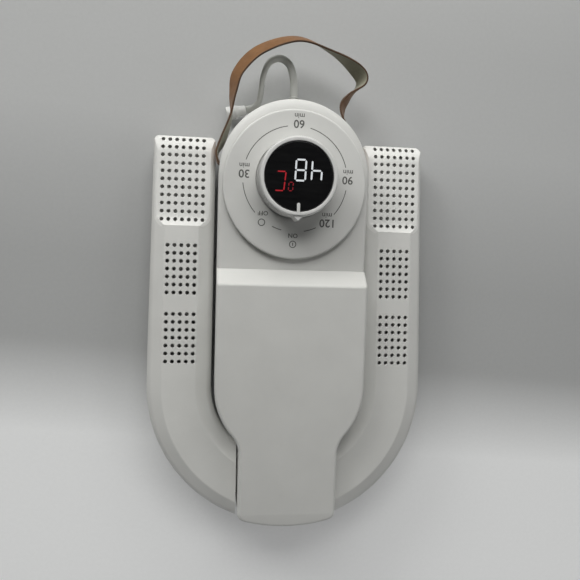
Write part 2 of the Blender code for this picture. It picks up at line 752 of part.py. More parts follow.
def plate_slab(sign, proud, sink, extra):
    """The zone between two offsets of the tip's front line, from the ramp's top to the nose."""
    frames = [frame for frame in TIP_FRAMES[1:] if frame[2] <= PLATE_LAST_TILT]
    lengthen = Vector((0, math.cos(RAMP_TILT), -math.sin(RAMP_TILT))) * (0.1 - extra)
    places = [(frames[0][0] + lengthen, frames[0][1]), *((point, way) for point, way, tilt in frames[1:])]
    last, way = places[-1]
    places.append((last + Vector((0, way.z, -way.y)) * (0.1 + extra), way))
    outer = [point + way * proud for point, way in places]
    inner = [point - way * sink for point, way in places]
    return prism(sign, [(spot.y, spot.z) for spot in outer + inner[::-1]])


def line_height(y):
    """Height of the tip's front line."""
    for (first, *_), (second, *_) in zip(TIP_FRAMES, TIP_FRAMES[1:]):
        if first.y <= y <= second.y:
            return first.z + (second.z - first.z) * (y - first.y) / (second.y - first.y)
    return arm_front(y)


def add_hole(bm, place, below, extra_length=0.0):
    """A square upright hole, or a slot when it is longer along the arm."""
    size = Matrix.Diagonal((HOLE_SIDE, HOLE_SIDE + extra_length, 2 + below, 1))
    middle = Vector(place) + Vector((0, 0, 1 - below / 2))
    bmesh.ops.create_cube(bm, size=1, matrix=Matrix.Translation(middle) @ size)


def grille_holes(sign):
    holes = bmesh.new()
    for row in range(11):
        y = GRILLE_ROW_Y + row * GRILLE_PITCH_Y
        steep = 3 if row == 10 else 0
        for column in range(-3, 4):
            add_hole(holes, (sign * ARM_CENTRE_R + column * HOLE_PITCH_X, y, line_height(y)), 3 + steep)
    return holes


def vent_slots(sign):
    """Two fields of five slots through the arm's front strip."""
    holes = bmesh.new()
    for first in VENT_ROWS_Y:
        middle = first + 3 * HOLE_PITCH_Y
        for column in range(-2, 3):
            x = sign * ARM_CENTRE_R + column * HOLE_PITCH_X
            add_hole(holes, (x, middle, arm_front(middle) + 1), 6, 6 * HOLE_PITCH_Y)
    return holes


ARM_SCREWS = ((ARM_CENTRE_R, -78.5), (49.1, -180.6))


def arm_shell(side, half_name, away):
    """One half of an arm: the outer body less its end, its inside and the other half."""
    sign = SIDES[side]
    axis = ARM_AXES[side]
    name = f"{side}_arm_{half_name}_shell"
    shell = part(name, arm_loft(0, sign), WHITE, axis)
    combine(shell, "INTERSECT", cutter(name + "_tip", prism(sign, tip_profile(0))))
    end = box((-ARM_INNER_X, -240, -10), (ARM_INNER_X, -150, 60))
    inner_reach = ARM_INNER_X + WALL
    inside = cutter(name + "_inside", arm_loft(WALL, sign))
    combine(inside, "INTERSECT", cutter(name + "_inner_tip", prism(sign, tip_profile(WALL + LEDGE))))
    cut(inside, cutter(name + "_inner_end", box((-inner_reach, -240, -10), (inner_reach, -150, 60))))
    cut(shell, cutter(name + "_end", end), inside)
    bore_ends = ((sign * (ARM_INNER_X - 4), HINGE_Y, HINGE_Z), (sign * (ARM_INNER_X + 4), HINGE_Y, HINGE_Z))
    cut(shell, cutter(name + "_bore", rod(*bore_ends, TRUNNION_R + GAP, sides=24)), away)
    return shell


def make_arm(side):
    sign = SIDES[side]
    axis = ARM_AXES[side]
    front = arm_shell(side, "front", seam_block(side + "_below", sign, False))
    back = arm_shell(side, "back", seam_block(side + "_above", sign, True))

    seat = cutter(side + "_seat", plate_slab(sign, 4, PLATE_THICK + GAP, GAP))
    middle = sign * ARM_CENTRE_R
    window = cutter(
        side + "_window",
        box((middle - WINDOW_HALF, RAMP_Y + 2, NOSE_LOW_Z + 3), (middle + WINDOW_HALF, TIP_END_Y - 4, 40)),
    )
    cut(front, seat, window, cutter(side + "_vents", vent_slots(sign)))
    cut(back, cutter(side + "_back_seat", plate_slab(sign, 4, PLATE_THICK + GAP, GAP)))

    bosses, bores, recesses, holes = (bmesh.new() for _ in range(4))
    for number, (x, y) in enumerate(ARM_SCREWS, 1):
        place = (sign * x, y)
        top = arm_front(y) - 1
        add_rod(bosses, (*place, ARM_BACK_Z + WALL + GAP), (*place, top), 3.4, sides=10)
        add_rod(bores, (*place, 0), (*place, top - 8), 1.7, sides=8)
        add_rod(recesses, (*place, 0), (*place, ARM_BACK_Z + 1.1), 3.2, sides=10)
        add_rod(holes, (*place, 0), (*place, ARM_BACK_Z + WALL + 1), 1.7, sides=8)
        screw = [(0, 20), (1.4, 18.5), (1.4, 6.95), (2.9, 6.95), (2.9, 6.1), (0, 6.1)]
        turned(f"{side}_arm_screw_{number}", screw, STEEL, (*place, 0), parent=axis, sides=8)
    join(front, cutter(side + "_bosses", bosses))
    cut(front, cutter(side + "_bores", bores))
    cut(back, cutter(side + "_recesses", recesses), cutter(side + "_screw_holes", holes))

    grille = part(side + "_tip_grille", arm_loft(0, sign), PALE, axis)
    combine(grille, "INTERSECT", cutter(side + "_plate", plate_slab(sign, 0, PLATE_THICK, 0)))
    cut(grille, cutter(side + "_grille_holes", grille_holes(sign)))
    make_trunnion(side)


def make_trunnion(side):
    """The hollow pivot: a tube into the neck with a flange inside the arm."""
    sign = SIDES[side]
    inner, outer, flange = 21.6, 40.0, ARM_INNER_X + WALL + GAP
    middle = (inner + outer) / 2
    low, high = inner - middle, outer - middle
    step = flange - middle
    profile = [
        (TRUNNION_BORE_R, high),
        (TRUNNION_R, high),
        (TRUNNION_R, step + 1.8),
        (13.2, step + 1.8),
        (13.2, step),
        (TRUNNION_R, step),
        (TRUNNION_R, low),
        (TRUNNION_BORE_R, low),
    ]
    place = (sign * middle, HINGE_Y, HINGE_Z)
    tube = turned(f"{side}_trunnion", profile, NYLON, place, axis="X", parent=ARM_AXES[side], sides=20)
    if sign < 0:
        tube.rotation_euler = (0, math.radians(-90), 0)


# ---------------------------------------------------------------- strap and cord


def smooth_path(points, steps):
    """A Catmull-Rom curve through tuples of any length."""
    points = [Vector(p) for p in points]
    ends = [points[0] * 2 - points[1], *points, points[-1] * 2 - points[-2]]
    path = []
    for a, b, c, d in zip(ends, ends[1:], ends[2:], ends[3:]):
        for i in range(steps):
            t = i / steps
            path.append(
                (b * 2 + (c - a) * t + (a * 2 - b * 5 + c * 4 - d) * t * t + (b * 3 - a - c * 3 + d) * t ** 3)
                / 2
            )
    return path + [points[-1]]


# Middle line of the strap and its lean: 0 is edge-on from the front, + shows its outer face, - its inner one.
STRAP_LINE = (
    (-37.5, 9.6, 24.0, 0),
    (-43.0, 9.6, 24.0, 0),
    (-46.6, 10.2, 24.0, 0),
    (-48.1, 13.0, 24.0, 0),
    (-48.1, 17.5, 24.0, -6),
    (-45.2, 25.6, 24.0, -16),
    (-42.0, 40.0, 24.0, -4),
    (-41.4, 55.0, 25.0, 18),
    (-37.4, 68.6, 26.0, 34),
    (-22.0, 82.4, 27.0, 38),
    (2.0, 90.4, 27.0, 28),
    (25.0, 83.4, 26.0, 8),
    (41.0, 73.4, 25.0, -24),
    (44.6, 66.0, 24.0, -20),
    (36.6, 56.6, 24.0, 14),
    (32.4, 49.4, 24.0, 24),
    (38.4, 38.2, 24.0, 6),
    (46.8, 22.0, 24.0, 0),
    (48.1, 13.0, 24.0, 0),
    (46.6, 10.2, 24.0, 0),
    (43.0, 9.6, 24.0, 0),
    (37.5, 9.6, 24.0, 0),
)


def make_strap():
    """A flat band along its middle line, standing on edge and leaning where its faces show."""
    path = smooth_path(STRAP_LINE, 2)
    spots = [Vector(p[:3]) for p in path]
    sections = []
    for i, p in enumerate(path):
        forward = (spots[min(i + 1, len(spots) - 1)] - spots[max(i - 1, 0)]).normalized()
        outward = forward.cross(Vector((0, 0, -1))).normalized()
        lean = math.radians(p[3])
        width = Vector((0, 0, 1)) * math.cos(lean) - outward * math.sin(lean)
        thick = width.cross(forward).normalized()
        w, t = width * STRAP_WIDTH / 2, thick * STRAP_THICK / 2
        sections.append([spots[i] + w + t, spots[i] - w + t, spots[i] - w - t, spots[i] + w - t])
    strap = part("strap", loft(sections), LEATHER)
    eyes = bmesh.new()
    for sign in SIDES.values():
        x, y, z = STRAP_ANCHOR
        add_rod(eyes, (sign * x, y - 4, z), (sign * x, y + 4, z), 1.9, sides=12)
    cut(strap, cutter("strap_eyes", eyes))


def make_rivets():
    """A rivet through each strap end, just inside the slot, so that the strap can't pull out."""
    head = STRAP_THICK / 2 + GAP
    shank = [(0, head + 1), (3, head + 1), (3, head), (1.5, head), (1.5, -head), (0, -head)]
    for side, sign in SIDES.items():
        x, y, z = STRAP_ANCHOR
        turned(f"{side}_strap_rivet", shank, STEEL, (sign * x, y, z), axis="Y", sides=12)


CORD_LINE = (
    (1.4, 57.0, 14.0),
    (0.8, 67.5, 15.5),
    (-2.2, 76.8, 16.0),
    (-8.6, 80.6, 16.0),
    (-15.6, 77.6, 15.5),
    (-20.8, 69.0, 15.0),
    (-23.2, 59.0, 12.0),
    (-24.6, 53.0, 8.6),
    (-26.4, 49.8, 7.0),
    (-29.4, 48.4, 6.8),
)


def make_cord():
    """The visible loop of cord, from the boot on the body's end to the moulded sleeve beside it."""
    path = smooth_path(CORD_LINE, 3)
    sections = []
    for i, spot in enumerate(path):
        forward = path[min(i + 1, len(path) - 1)] - path[max(i - 1, 0)]
        across = forward.cross(Vector((0, 0, 1))).normalized()
        over = across.cross(forward).normalized()
        angles = [math.tau * k / CORD_SIDES for k in range(CORD_SIDES)]
        sections.append([spot + (across * math.cos(a) + over * math.sin(a)) * CORD_R for a in angles])
    part("power_cord", loft(sections), CORD)
    boot = rod((1.4, 49.8, 14), (1.4, 56.6, 14), 4.4, 3.2, sides=20)
    part("cord_boot", boot, CORD)
    direction = (path[-1] - path[-2]).normalized()
    start = path[-1] + direction * GAP * 2
    sleeve = part("cord_sleeve", rod(start, start + direction * 6, 3.2, 4.3, sides=20), CORD)
    tail = rod(start + direction * 5.5, start + direction * 13, 4.4, sides=20)
    join(sleeve, cutter("sleeve_tail", tail))


def build():
    make_front_shell()
    make_heater_cover()
    make_back_cover()
    make_intake_grille()
    make_feet()
    make_body_screws()
    make_dial_panel()
    make_knob()
    make_display()
    make_boards()
    make_blower()
    make_fan()
    make_heater()
    make_duct()
    make_bushes()
    for side in SIDES:
        make_arm(side)
    make_strap()
    make_rivets()
    make_cord()


build()
bpy.context.view_layer.update()
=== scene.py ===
"""The looks of a folding boot dryer: its shells, perforated arms, timer dial, display, strap and cord.
"""

import json
import math

import bmesh
import bpy
from mathutils import Matrix, Vector


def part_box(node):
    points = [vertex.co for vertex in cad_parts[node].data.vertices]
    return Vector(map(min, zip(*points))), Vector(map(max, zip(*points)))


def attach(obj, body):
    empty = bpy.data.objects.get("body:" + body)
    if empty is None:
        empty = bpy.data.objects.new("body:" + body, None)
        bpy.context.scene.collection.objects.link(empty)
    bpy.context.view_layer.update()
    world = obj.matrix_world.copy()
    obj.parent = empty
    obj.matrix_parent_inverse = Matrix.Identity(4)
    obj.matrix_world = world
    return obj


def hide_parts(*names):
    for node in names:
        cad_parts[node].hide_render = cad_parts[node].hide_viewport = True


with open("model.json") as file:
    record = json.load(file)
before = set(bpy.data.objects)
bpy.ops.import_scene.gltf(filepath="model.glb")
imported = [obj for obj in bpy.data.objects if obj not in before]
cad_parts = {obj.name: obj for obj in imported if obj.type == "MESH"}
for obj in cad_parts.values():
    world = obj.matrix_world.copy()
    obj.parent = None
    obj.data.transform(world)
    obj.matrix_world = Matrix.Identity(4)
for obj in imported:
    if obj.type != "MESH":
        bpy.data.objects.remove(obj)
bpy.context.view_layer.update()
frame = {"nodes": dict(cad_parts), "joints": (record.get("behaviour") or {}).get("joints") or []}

MM = 0.001
DIAL_Y = sum(corner.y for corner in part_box("knob_rotor")) / 2 / MM


def local(node):
    """Lowest and highest corner of a CAD node, in millimetres from the dial's centre."""
    return [corner / MM - Vector((0, DIAL_Y, 0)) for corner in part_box(node)]


# ---- driving dimensions

WALL = 2.0
SPLIT = 0.1

FRONT_LOW, FRONT_HIGH = local("front_shell")
COVER_HIGH = local("heater_cover")[1]
BACK_LOW = local("back_cover")[0]
PANEL_LOW, PANEL_HIGH = local("dial_panel")
LENS_LOW, LENS_HIGH = local("display_lens")
RING_LOW, RING_HIGH = local("knob_ring")
INTAKE_LOW, INTAKE_HIGH = local("intake_grille")
ARM_LOW, ARM_HIGH = local("right_arm_front_shell")
BUSH_HIGH = local("right_hinge_bush")[1]
SCREW_PLACES = [sum(local(f"body_screw_{i}"), Vector()) / 2 for i in range(1, 7)]

HINGE = next(joint for joint in frame["joints"] if joint["name"] == "right_arm_fold")
HINGE_Y = HINGE["pos_m"][1] / MM - DIAL_Y
HINGE_Z = HINGE["pos_m"][2] / MM
SEAM_Z = HINGE_Z
SEAM_GAP = 0.15

BODY_HALF = FRONT_HIGH.x
END_CENTRE_Y = FRONT_HIGH.y - BODY_HALF
HIGH_FRONT_Z = FRONT_HIGH.z
LOW_FRONT_Z = HIGH_FRONT_Z - 3.0
FRONT_RISE_Y = (-50, 12)
END_ROUND_Y = (-12, 24)
CAVITY_TOP_Z = 38.5
COVER_FRONT_Z = COVER_HIGH.z
BACK_Z = BACK_LOW.z
BACK_CURVE = (4.2, 6.0)
BACK_HOLLOW = (2.4, 4.5)
STEP_TOP_Y = (FRONT_LOW.y + COVER_HIGH.y) / 2
STEP_RUN = 9.2
CREASE_R = 2.4
NECK_HALF = 31.0
NECK_END_Y = BACK_LOW.y
NECK_END_R = 96.0
NECK_CORNER = (26.2, NECK_END_Y + 8.8)
NECK_CORNER_R = 4.8
NECK_SLOPE = 19.0
NECK_FALL = 1.2
SHOULDER_Y = -130.0
SHOULDER_R = 46.0
NECK_FILLET_Y = -173.0
SHOULDER_X = BODY_HALF - SHOULDER_R
SHOULDER_DROP = SHOULDER_Y - NECK_FILLET_Y
NECK_FILLET_R = (NECK_HALF - SHOULDER_X) ** 2 + SHOULDER_DROP ** 2 - SHOULDER_R ** 2
NECK_FILLET_R /= 2 * (BODY_HALF - NECK_HALF)

PANEL_R = (PANEL_HIGH.x - PANEL_LOW.x) / 2
PANEL_REACH = PANEL_R + 1.4
PANEL_CENTRE_Y = PANEL_LOW.y + PANEL_REACH
PANEL_Z = PANEL_HIGH.z
PANEL_HOLE_R = 22.8
RING_R = RING_HIGH.x
RING_BORE_R = 20.9
RING_FRONT_Z = LENS_HIGH.z + 0.4
RING_FOOT_Z = PANEL_Z - 1.3
KNURLS = 120
KNURL_DEPTH = 0.95
GROOVE_R = RING_R + 0.6
GROOVE_Z = PANEL_Z - 1.7
POINTER_HALF = 3.4
POINTER_REACH = 2.6
INDEX_HALF = 0.95
INDEX_INNER_R = 15.7
LENS_R = LENS_HIGH.x

INTAKE_MIDDLE = (INTAKE_LOW + INTAKE_HIGH) / 2
INTAKE_R = (INTAKE_HIGH.x - INTAKE_LOW.x) / 2
INTAKE_SLOT_PITCH = 3.8
INTAKE_SLOT_HALF = 1.2
INTAKE_SLOT_REACH = 21

BAR_TRIM = 0.3
INK_RISE = 0.03
SCALE_R = 32.5
SCALE_HALF = 0.24
SCALE_ARCS = ((100, 161), (15, 75), (-40, -10), (-79, -65), (-115, -104), (-174, -139))
SIGN_R = 2.0
SIGN_HALF = 0.26
OFF_SIGN = (-20.3, -27.2)
ON_SIGN = (-0.5, -40.2)

ARM_INNER_X = ARM_LOW.x
ARM_HALF = 20.5
ARM_CENTRE_R = ARM_HIGH.x - ARM_HALF
ARM_RING_Y = -132.2
ARM_STRIP_HALF = 10.8
ARM_FACET = math.radians(24)
ARM_CREASE_HALF = 0.7
ARM_EDGE_R = 6.0
ARM_SIDE_TAPER = 0.155
ARM_TAPER_Y = -110.0
ARM_BACK_Z = local("right_arm_back_shell")[0].z
ARM_FRONT_Z = 26.5
ARM_TAPER = 0.078
ARM_TILT = math.atan(ARM_TAPER)
ARM_BORE_R = 10.7
FAR_Y = -250
ABOVE_Z = 70

RAMP_Y = -30.45
RAMP_TILT = math.radians(38)
FLAT_Y = -22.15
FLAT_TILT = math.radians(5)
RAMP_R = (FLAT_Y - RAMP_Y) / (math.sin(RAMP_TILT) - math.sin(FLAT_TILT))
BEND_Y = 16.2
BEND_R = 18.0
NOSE_TILT = math.radians(32)
NOSE_R = 7.5
NOSE_LOW_Z = 11.0
UNDER_R = 5.0
TIP_CORNER_R = 3.5
PLATE_THICK = 1.2
PLATE_LAST_TILT = math.radians(76)
WINDOW_HALF = 14.2
LEDGE = 0.6

HOLE_R = 1.24
HOLE_PITCH_X = 4.3
HOLE_PITCH_Y = 5.0
HOLE_CHAMFER = 0.18
HOLE_DEPTH = 4.0
GRILLE_ROW_Y = -26.45
GRILLE_PITCH_Y = 5.12
VENT_ROWS_Y = (-72.9, -116.5)

STRAP_WIDTH = 12.5
STRAP_THICK = 1.3
STRAP_SLOT_Y = (8.4, 12.4)
STRAP_SLOT_Z = (17.2, 30.8)
CORD_WIDE = 4.9
CORD_FLAT = 3.3

SIDES = {"left": -1, "right": 1}


# ---- materials


def socket(shader, key):
    return shader.inputs[key.replace("_", " ").title().replace("Ior", "IOR")]


def start_material(name, **values):
    """A Principled material with the sockets that are the same all over, and its object coordinates."""
    made = bpy.data.materials.new(name)
    made.use_nodes = True
    tree = made.node_tree
    shader = tree.nodes["Principled BSDF"]
    for key, value in values.items():
        socket(shader, key).default_value = value
    coords = tree.nodes.new("ShaderNodeTexCoord").outputs["Object"]
    return made, tree, shader, coords


def feed(tree, shader, **outputs):
    """Links each output to the shader's socket of that name."""
    for key, output in outputs.items():
        tree.links.new(output, socket(shader, key))


def stretch(tree, coords, scale):
    """Coordinates scaled differently along each axis, for brushed or fibrous surfaces."""
    mapping = tree.nodes.new("ShaderNodeMapping")
    mapping.inputs["Scale"].default_value = scale
    tree.links.new(coords, mapping.inputs["Vector"])
    return mapping.outputs["Vector"]


def noise(tree, coords, scale, detail=3.0, roughness=0.55):
    texture = tree.nodes.new("ShaderNodeTexNoise")
    texture.inputs["Scale"].default_value = scale
    texture.inputs["Detail"].default_value = detail
    texture.inputs["Roughness"].default_value = roughness
    tree.links.new(coords, texture.inputs["Vector"])
    return texture.outputs["Fac"]


def cells(tree, coords, scale, feature="F1"):
    texture = tree.nodes.new("ShaderNodeTexVoronoi")
    texture.feature = feature
    texture.inputs["Scale"].default_value = scale
    tree.links.new(coords, texture.inputs["Vector"])
    return texture.outputs["Distance"]


def spread(tree, factor, low, high, start=0.3, end=0.7):
    """The factor between start and end taken to the range from low to high."""
    span = tree.nodes.new("ShaderNodeMapRange")
    tree.links.new(factor, span.inputs["Value"])
    for name, value in (("From Min", start), ("From Max", end), ("To Min", low), ("To Max", high)):
        span.inputs[name].default_value = value
    return span.outputs["Result"]


def ramp(tree, factor, *stops):
    """A colour ramp with (position, colour) stops."""
    colours = tree.nodes.new("ShaderNodeValToRGB")
    tree.links.new(factor, colours.inputs["Fac"])
    elements = colours.color_ramp.elements
    while len(elements) < len(stops):
        elements.new(0.5)
    for element, (position, colour) in zip(elements, stops):
        element.position = position
        element.color = (*colour, 1)
    return colours.outputs["Color"]


def mixed(tree, factor, first, second, blend="MIX"):
    mix = tree.nodes.new("ShaderNodeMix")
    mix.data_type = "RGBA"
    mix.blend_type = blend
    if isinstance(factor, float):
        mix.inputs[0].default_value = factor
    else:
        tree.links.new(factor, mix.inputs[0])
    for place, value in ((mix.inputs[6], first), (mix.inputs[7], second)):
        if isinstance(value, tuple):
            place.default_value = (*value, 1)
        else:
            tree.links.new(value, place)
    return mix.outputs[2]


def bump(tree, shader, *layers):
    """Bump layers of (height, depth in millimetres), each laid over the one before."""
    normal = None
    for height, depth in layers:
        layer = tree.nodes.new("ShaderNodeBump")
        layer.inputs["Distance"].default_value = depth * MM
        tree.links.new(height, layer.inputs["Height"])
        if normal:
            tree.links.new(normal, layer.inputs["Normal"])
        normal = layer.outputs["Normal"]
    feed(tree, shader, normal=normal)


def shade(colour, amount):
    return tuple(min(1.0, channel * amount) for channel in colour)


def plastic(name, colour, roughness, grain=900, depth=0.02, smudge=(0.45, 0.42, 0.37)):
    """Spark-textured moulding with a faint mottle, faint handling marks and uneven gloss."""
    made, tree, shader, coords = start_material(name, ior=1.46)
    mottle = noise(tree, coords, 38, 5.0)
    body = ramp(tree, mottle, (0.3, shade(colour, 0.965)), (0.7, shade(colour, 1.02)))
    marks = spread(tree, noise(tree, coords, 95, 8.0, 0.7), 0.0, 0.16, 0.6, 0.82)
    specks = spread(tree, noise(tree, coords, 620, 2.0), 0.0, 0.3, 0.77, 0.84)
    worn = mixed(tree, marks, body, smudge)
    speckled = mixed(tree, specks, worn, shade(colour, 0.55))
    gloss = spread(tree, noise(tree, coords, 130, 6.0), roughness - 0.06, roughness + 0.07)
    feed(tree, shader, base_color=speckled, roughness=gloss)
    bump(tree, shader, (noise(tree, coords, grain, 3.0), depth), (noise(tree, coords, 24, 2.0), depth * 3))
    return made


def glossy_black():
    """The smoked window: almost black, with faint wiping marks in its gloss."""
    made, tree, shader, coords = start_material("smoked_lens", ior=1.5)
    wipes = noise(tree, stretch(tree, coords, (60, 420, 60)), 1.0, 6.0, 0.65)
    smoke = ramp(tree, wipes, (0.3, (0.0045, 0.0045, 0.005)), (0.7, (0.009, 0.009, 0.0095)))
    feed(tree, shader, base_color=smoke, roughness=spread(tree, wipes, 0.08, 0.2))
    bump(tree, shader, (noise(tree, coords, 40, 2.0), 0.004))
    return made


def lit(name, colour, power):
    """A lit bar of the display, a little stronger in the middle of the light's spread."""
    made, tree, shader, coords = start_material(name, roughness=0.4, emission_strength=power)
    glow = noise(tree, coords, 700, 3.0)
    light = ramp(tree, glow, (0.3, shade(colour, 0.84)), (0.7, colour))
    unlit = ramp(tree, glow, (0.3, shade(colour, 0.12)), (0.7, shade(colour, 0.16)))
    feed(tree, shader, emission_color=light, base_color=unlit)
    return made


def ink(name, colour):
    """Pad-printed ink, slightly uneven in cover."""
    made, tree, shader, coords = start_material(name, ior=1.45)
    cover = noise(tree, coords, 2600, 3.0, 0.7)
    tint = ramp(tree, cover, (0.35, colour), (0.75, shade(colour, 1.9)))
    feed(tree, shader, base_color=tint, roughness=spread(tree, cover, 0.4, 0.6))
    bump(tree, shader, (cover, 0.006))
    return made


def leather(name, dark, light, roughness, pores, depth):
    """Grained leather: cells for the grain, fine creases and a cloudy dye."""
    made, tree, shader, coords = start_material(name, ior=1.45, sheen_weight=0.08)
    cloud = noise(tree, coords, 70, 5.0, 0.6)
    grain = cells(tree, coords, pores)
    dyed = ramp(tree, cloud, (0.3, dark), (0.7, light))
    pits = spread(tree, grain, 0.55, 0.0, 0.0, 0.35)
    gloss = spread(tree, noise(tree, coords, 260, 4.0), roughness - 0.08, roughness + 0.1)
    feed(tree, shader, base_color=mixed(tree, pits, dyed, shade(dark, 0.62)), roughness=gloss)
    bump(tree, shader, (grain, depth), (noise(tree, coords, 320, 5.0, 0.65), depth * 1.4))
    return made


def fibrous(name, dark, light):
    """The strap's unfinished back: matted fibres."""
    made, tree, shader, coords = start_material(name, roughness=0.9, sheen_weight=0.25, sheen_roughness=0.5)
    fibres = noise(tree, stretch(tree, coords, (700, 700, 2200)), 1.0, 6.0, 0.75)
    patches = noise(tree, coords, 120, 4.0)
    coat = ramp(tree, fibres, (0.3, dark), (0.7, light))
    feed(tree, shader, base_color=mixed(tree, spread(tree, patches, 0.0, 0.3), coat, shade(dark, 0.7)))
    bump(tree, shader, (fibres, 0.06), (patches, 0.08))
    return made


def brushed(name, colour, roughness):
    """Plated metal with fine drawn lines and slight staining."""
    made, tree, shader, coords = start_material(name, metallic=1.0)
    lines = noise(tree, stretch(tree, coords, (60, 60, 2500)), 1.0, 5.0, 0.6)
    stain = noise(tree, coords, 240, 4.0)
    drawn = ramp(tree, lines, (0.3, shade(colour, 0.85)), (0.7, colour))
    stained = mixed(tree, spread(tree, stain, 0.0, 0.25), drawn, shade(colour, 0.6))
    gloss = spread(tree, lines, roughness - 0.07, roughness + 0.1)
    feed(tree, shader, base_color=stained, roughness=gloss)
    bump(tree, shader, (lines, 0.008))
    return made


def rubber(name, colour):
    made, tree, shader, coords = start_material(name, ior=1.5)
    dust = noise(tree, coords, 330, 6.0, 0.7)
    dusty = ramp(tree, dust, (0.35, colour), (0.8, shade(colour, 2.4)))
    feed(tree, shader, base_color=dusty, roughness=spread(tree, dust, 0.72, 0.92))
    bump(tree, shader, (noise(tree, coords, 1500, 3.0), 0.03))
    return made


def board(name, mask, track):
    """Solder mask over copper tracks, from the edges of two sets of cells."""
    made, tree, shader, coords = start_material(name, coat_weight=0.3, coat_roughness=0.15)
    routes = spread(tree, cells(tree, coords, 240, "DISTANCE_TO_EDGE"), 1.0, 0.0, 0.03, 0.07)
    stain = noise(tree, coords, 90, 4.0)
    tinted = ramp(tree, stain, (0.3, shade(mask, 0.8)), (0.7, mask))
    coated = mixed(tree, routes, tinted, track)
    feed(tree, shader, base_color=coated, roughness=spread(tree, stain, 0.25, 0.42))
    bump(tree, shader, (routes, 0.03))
    return made


def ceramic(name, colour):
    """Fired ceramic: chalky, with darker pores."""
    made, tree, shader, coords = start_material(name, ior=1.5)
    pores = cells(tree, coords, 1600)
    fired = ramp(tree, noise(tree, coords, 110, 5.0), (0.3, shade(colour, 0.8)), (0.7, shade(colour, 1.1)))
    pitted = mixed(tree, spread(tree, pores, 0.5, 0.0, 0.0, 0.25), fired, shade(colour, 0.4))
    feed(tree, shader, base_color=pitted, roughness=spread(tree, pores, 0.8, 0.65, 0.0, 0.5))
    bump(tree, shader, (pores, 0.04))
    return made


def floor_paper():
    """Pale matte paper with painted light: its colour is lighter beyond the hinge end and darker in a band
    further on, for the fall of light, and a painted glow beyond the hinge end is darkened by an occlusion
    node where the dryer stands, as a painted contact shadow.
    """
    made, tree, shader, coords = start_material("floor_paper", specular_ior_level=0.2, emission_strength=1.0)
    along = tree.nodes.new("ShaderNodeVectorMath")
    along.operation = "DOT_PRODUCT"
    along.inputs[1].default_value = (0.075, 1.0, 0.0)
    tree.links.new(coords, along.inputs[0])
    place = spread(tree, along.outputs["Value"], 0.0, 1.0, -0.20, 0.18)
    # Painted shading: the floor's colour is lighter beyond the hinge end and darker in a band further on,
    # standing in for the fall of light.
    greys = ((0.0, 0.74), (0.21, 0.72), (0.37, 0.47), (0.53, 0.45), (0.66, 0.48), (0.79, 0.52), (0.97, 0.48))
    shading = ramp(tree, place, *((at, (grey, grey * 1.012, grey * 1.012)) for at, grey in greys))
    fibre = ramp(tree, noise(tree, coords, 420, 4.0), (0.3, (0.97, 0.97, 0.97)), (0.7, (1.0, 1.0, 1.0)))
    paper = mixed(tree, 1.0, shading, fibre, "MULTIPLY")
    # Painted glow: emission beyond the hinge end stands in for light, and the occlusion node darkens it near
    # the dryer as a painted contact shadow.
    glow = ramp(tree, place, (0.0, (0.2, 0.2, 0.2)), (0.21, (0.19, 0.19, 0.19)), (0.38, (0.0, 0.0, 0.0)))
    painted_shadow_occlusion = tree.nodes.new("ShaderNodeAmbientOcclusion")
    painted_shadow_occlusion.inputs["Distance"].default_value = 0.045
    painted_glow_with_shadow = mixed(tree, 1.0, glow, painted_shadow_occlusion.outputs["Color"], "MULTIPLY")
    gloss = spread(tree, noise(tree, coords, 60, 3.0), 0.82, 0.95)
    feed(tree, shader, base_color=paper, emission_color=painted_glow_with_shadow, roughness=gloss)
    bump(tree, shader, (noise(tree, coords, 900, 4.0), 0.02))
    return made


WHITE = plastic("white_shell", (0.69, 0.69, 0.668), 0.5)
FACE = plastic("dial_face", (0.685, 0.685, 0.665), 0.46, 1400, 0.01)
PALE = plastic("pale_grille", (0.78, 0.78, 0.757), 0.42, 1300, 0.012)
GRIP = plastic("dial_ring", (0.72, 0.72, 0.705), 0.4, 1500, 0.008)
CORD_SKIN = plastic("cord_sheath", (0.52, 0.525, 0.50), 0.34, 500, 0.03)
SLEEVE = plastic("cord_moulding", (0.80, 0.805, 0.79), 0.2, 300, 0.01)
GREY = plastic("grey_plastic", (0.30, 0.30, 0.31), 0.55, 800, 0.03, (0.2, 0.2, 0.2))
DARK = plastic("dark_plastic", (0.035, 0.035, 0.038), 0.5, 900, 0.03, (0.08, 0.08, 0.08))
NYLON = plastic("nylon", (0.70, 0.69, 0.63), 0.38, 700, 0.015)
LENS = glossy_black()
WHITE_LIGHT = lit("white_light", (0.93, 0.97, 1.0), 0.66)
RED_LIGHT = lit("red_light", (1.0, 0.03, 0.05), 0.31)
DIM_LIGHT = lit("dim_red_light", (1.0, 0.03, 0.06), 0.12)
INK = ink("grey_ink", (0.075, 0.075, 0.07))
BROWN = leather("tan_leather", (0.155, 0.064, 0.014), (0.215, 0.092, 0.020), 0.5, 1500, 0.035)
BROWN_EDGE = leather("leather_edge", (0.055, 0.028, 0.014), (0.10, 0.05, 0.022), 0.6, 2200, 0.05)
LEATHER_BACK = fibrous("leather_back", (0.20, 0.19, 0.135), (0.31, 0.295, 0.215))
STEEL = brushed("plated_steel", (0.62, 0.62, 0.63), 0.28)
RUBBER = rubber("foot_rubber", (0.035, 0.035, 0.037))
BOARD = board("circuit_board", (0.02, 0.13, 0.06), (0.05, 0.22, 0.09))
CERAMIC = ceramic("heater_ceramic", (0.55, 0.45, 0.36))


# ---- meshes


def solid(bm):
    """The mesh with its doubled points merged and all its faces outward."""
    bmesh.ops.remove_doubles(bm, verts=bm.verts, dist=0.0005)
    bmesh.ops.recalc_face_normals(bm, faces=bm.faces)
    return bm


def link(name, data):
    """A new object of the scene."""
    made = bpy.data.objects.new(name, data)
    bpy.context.scene.collection.objects.link(made)
    return made


def holder(bm, name):
    mesh = bpy.data.meshes.new(name)
    solid(bm).to_mesh(mesh)
    bm.free()
    return link(name, mesh)


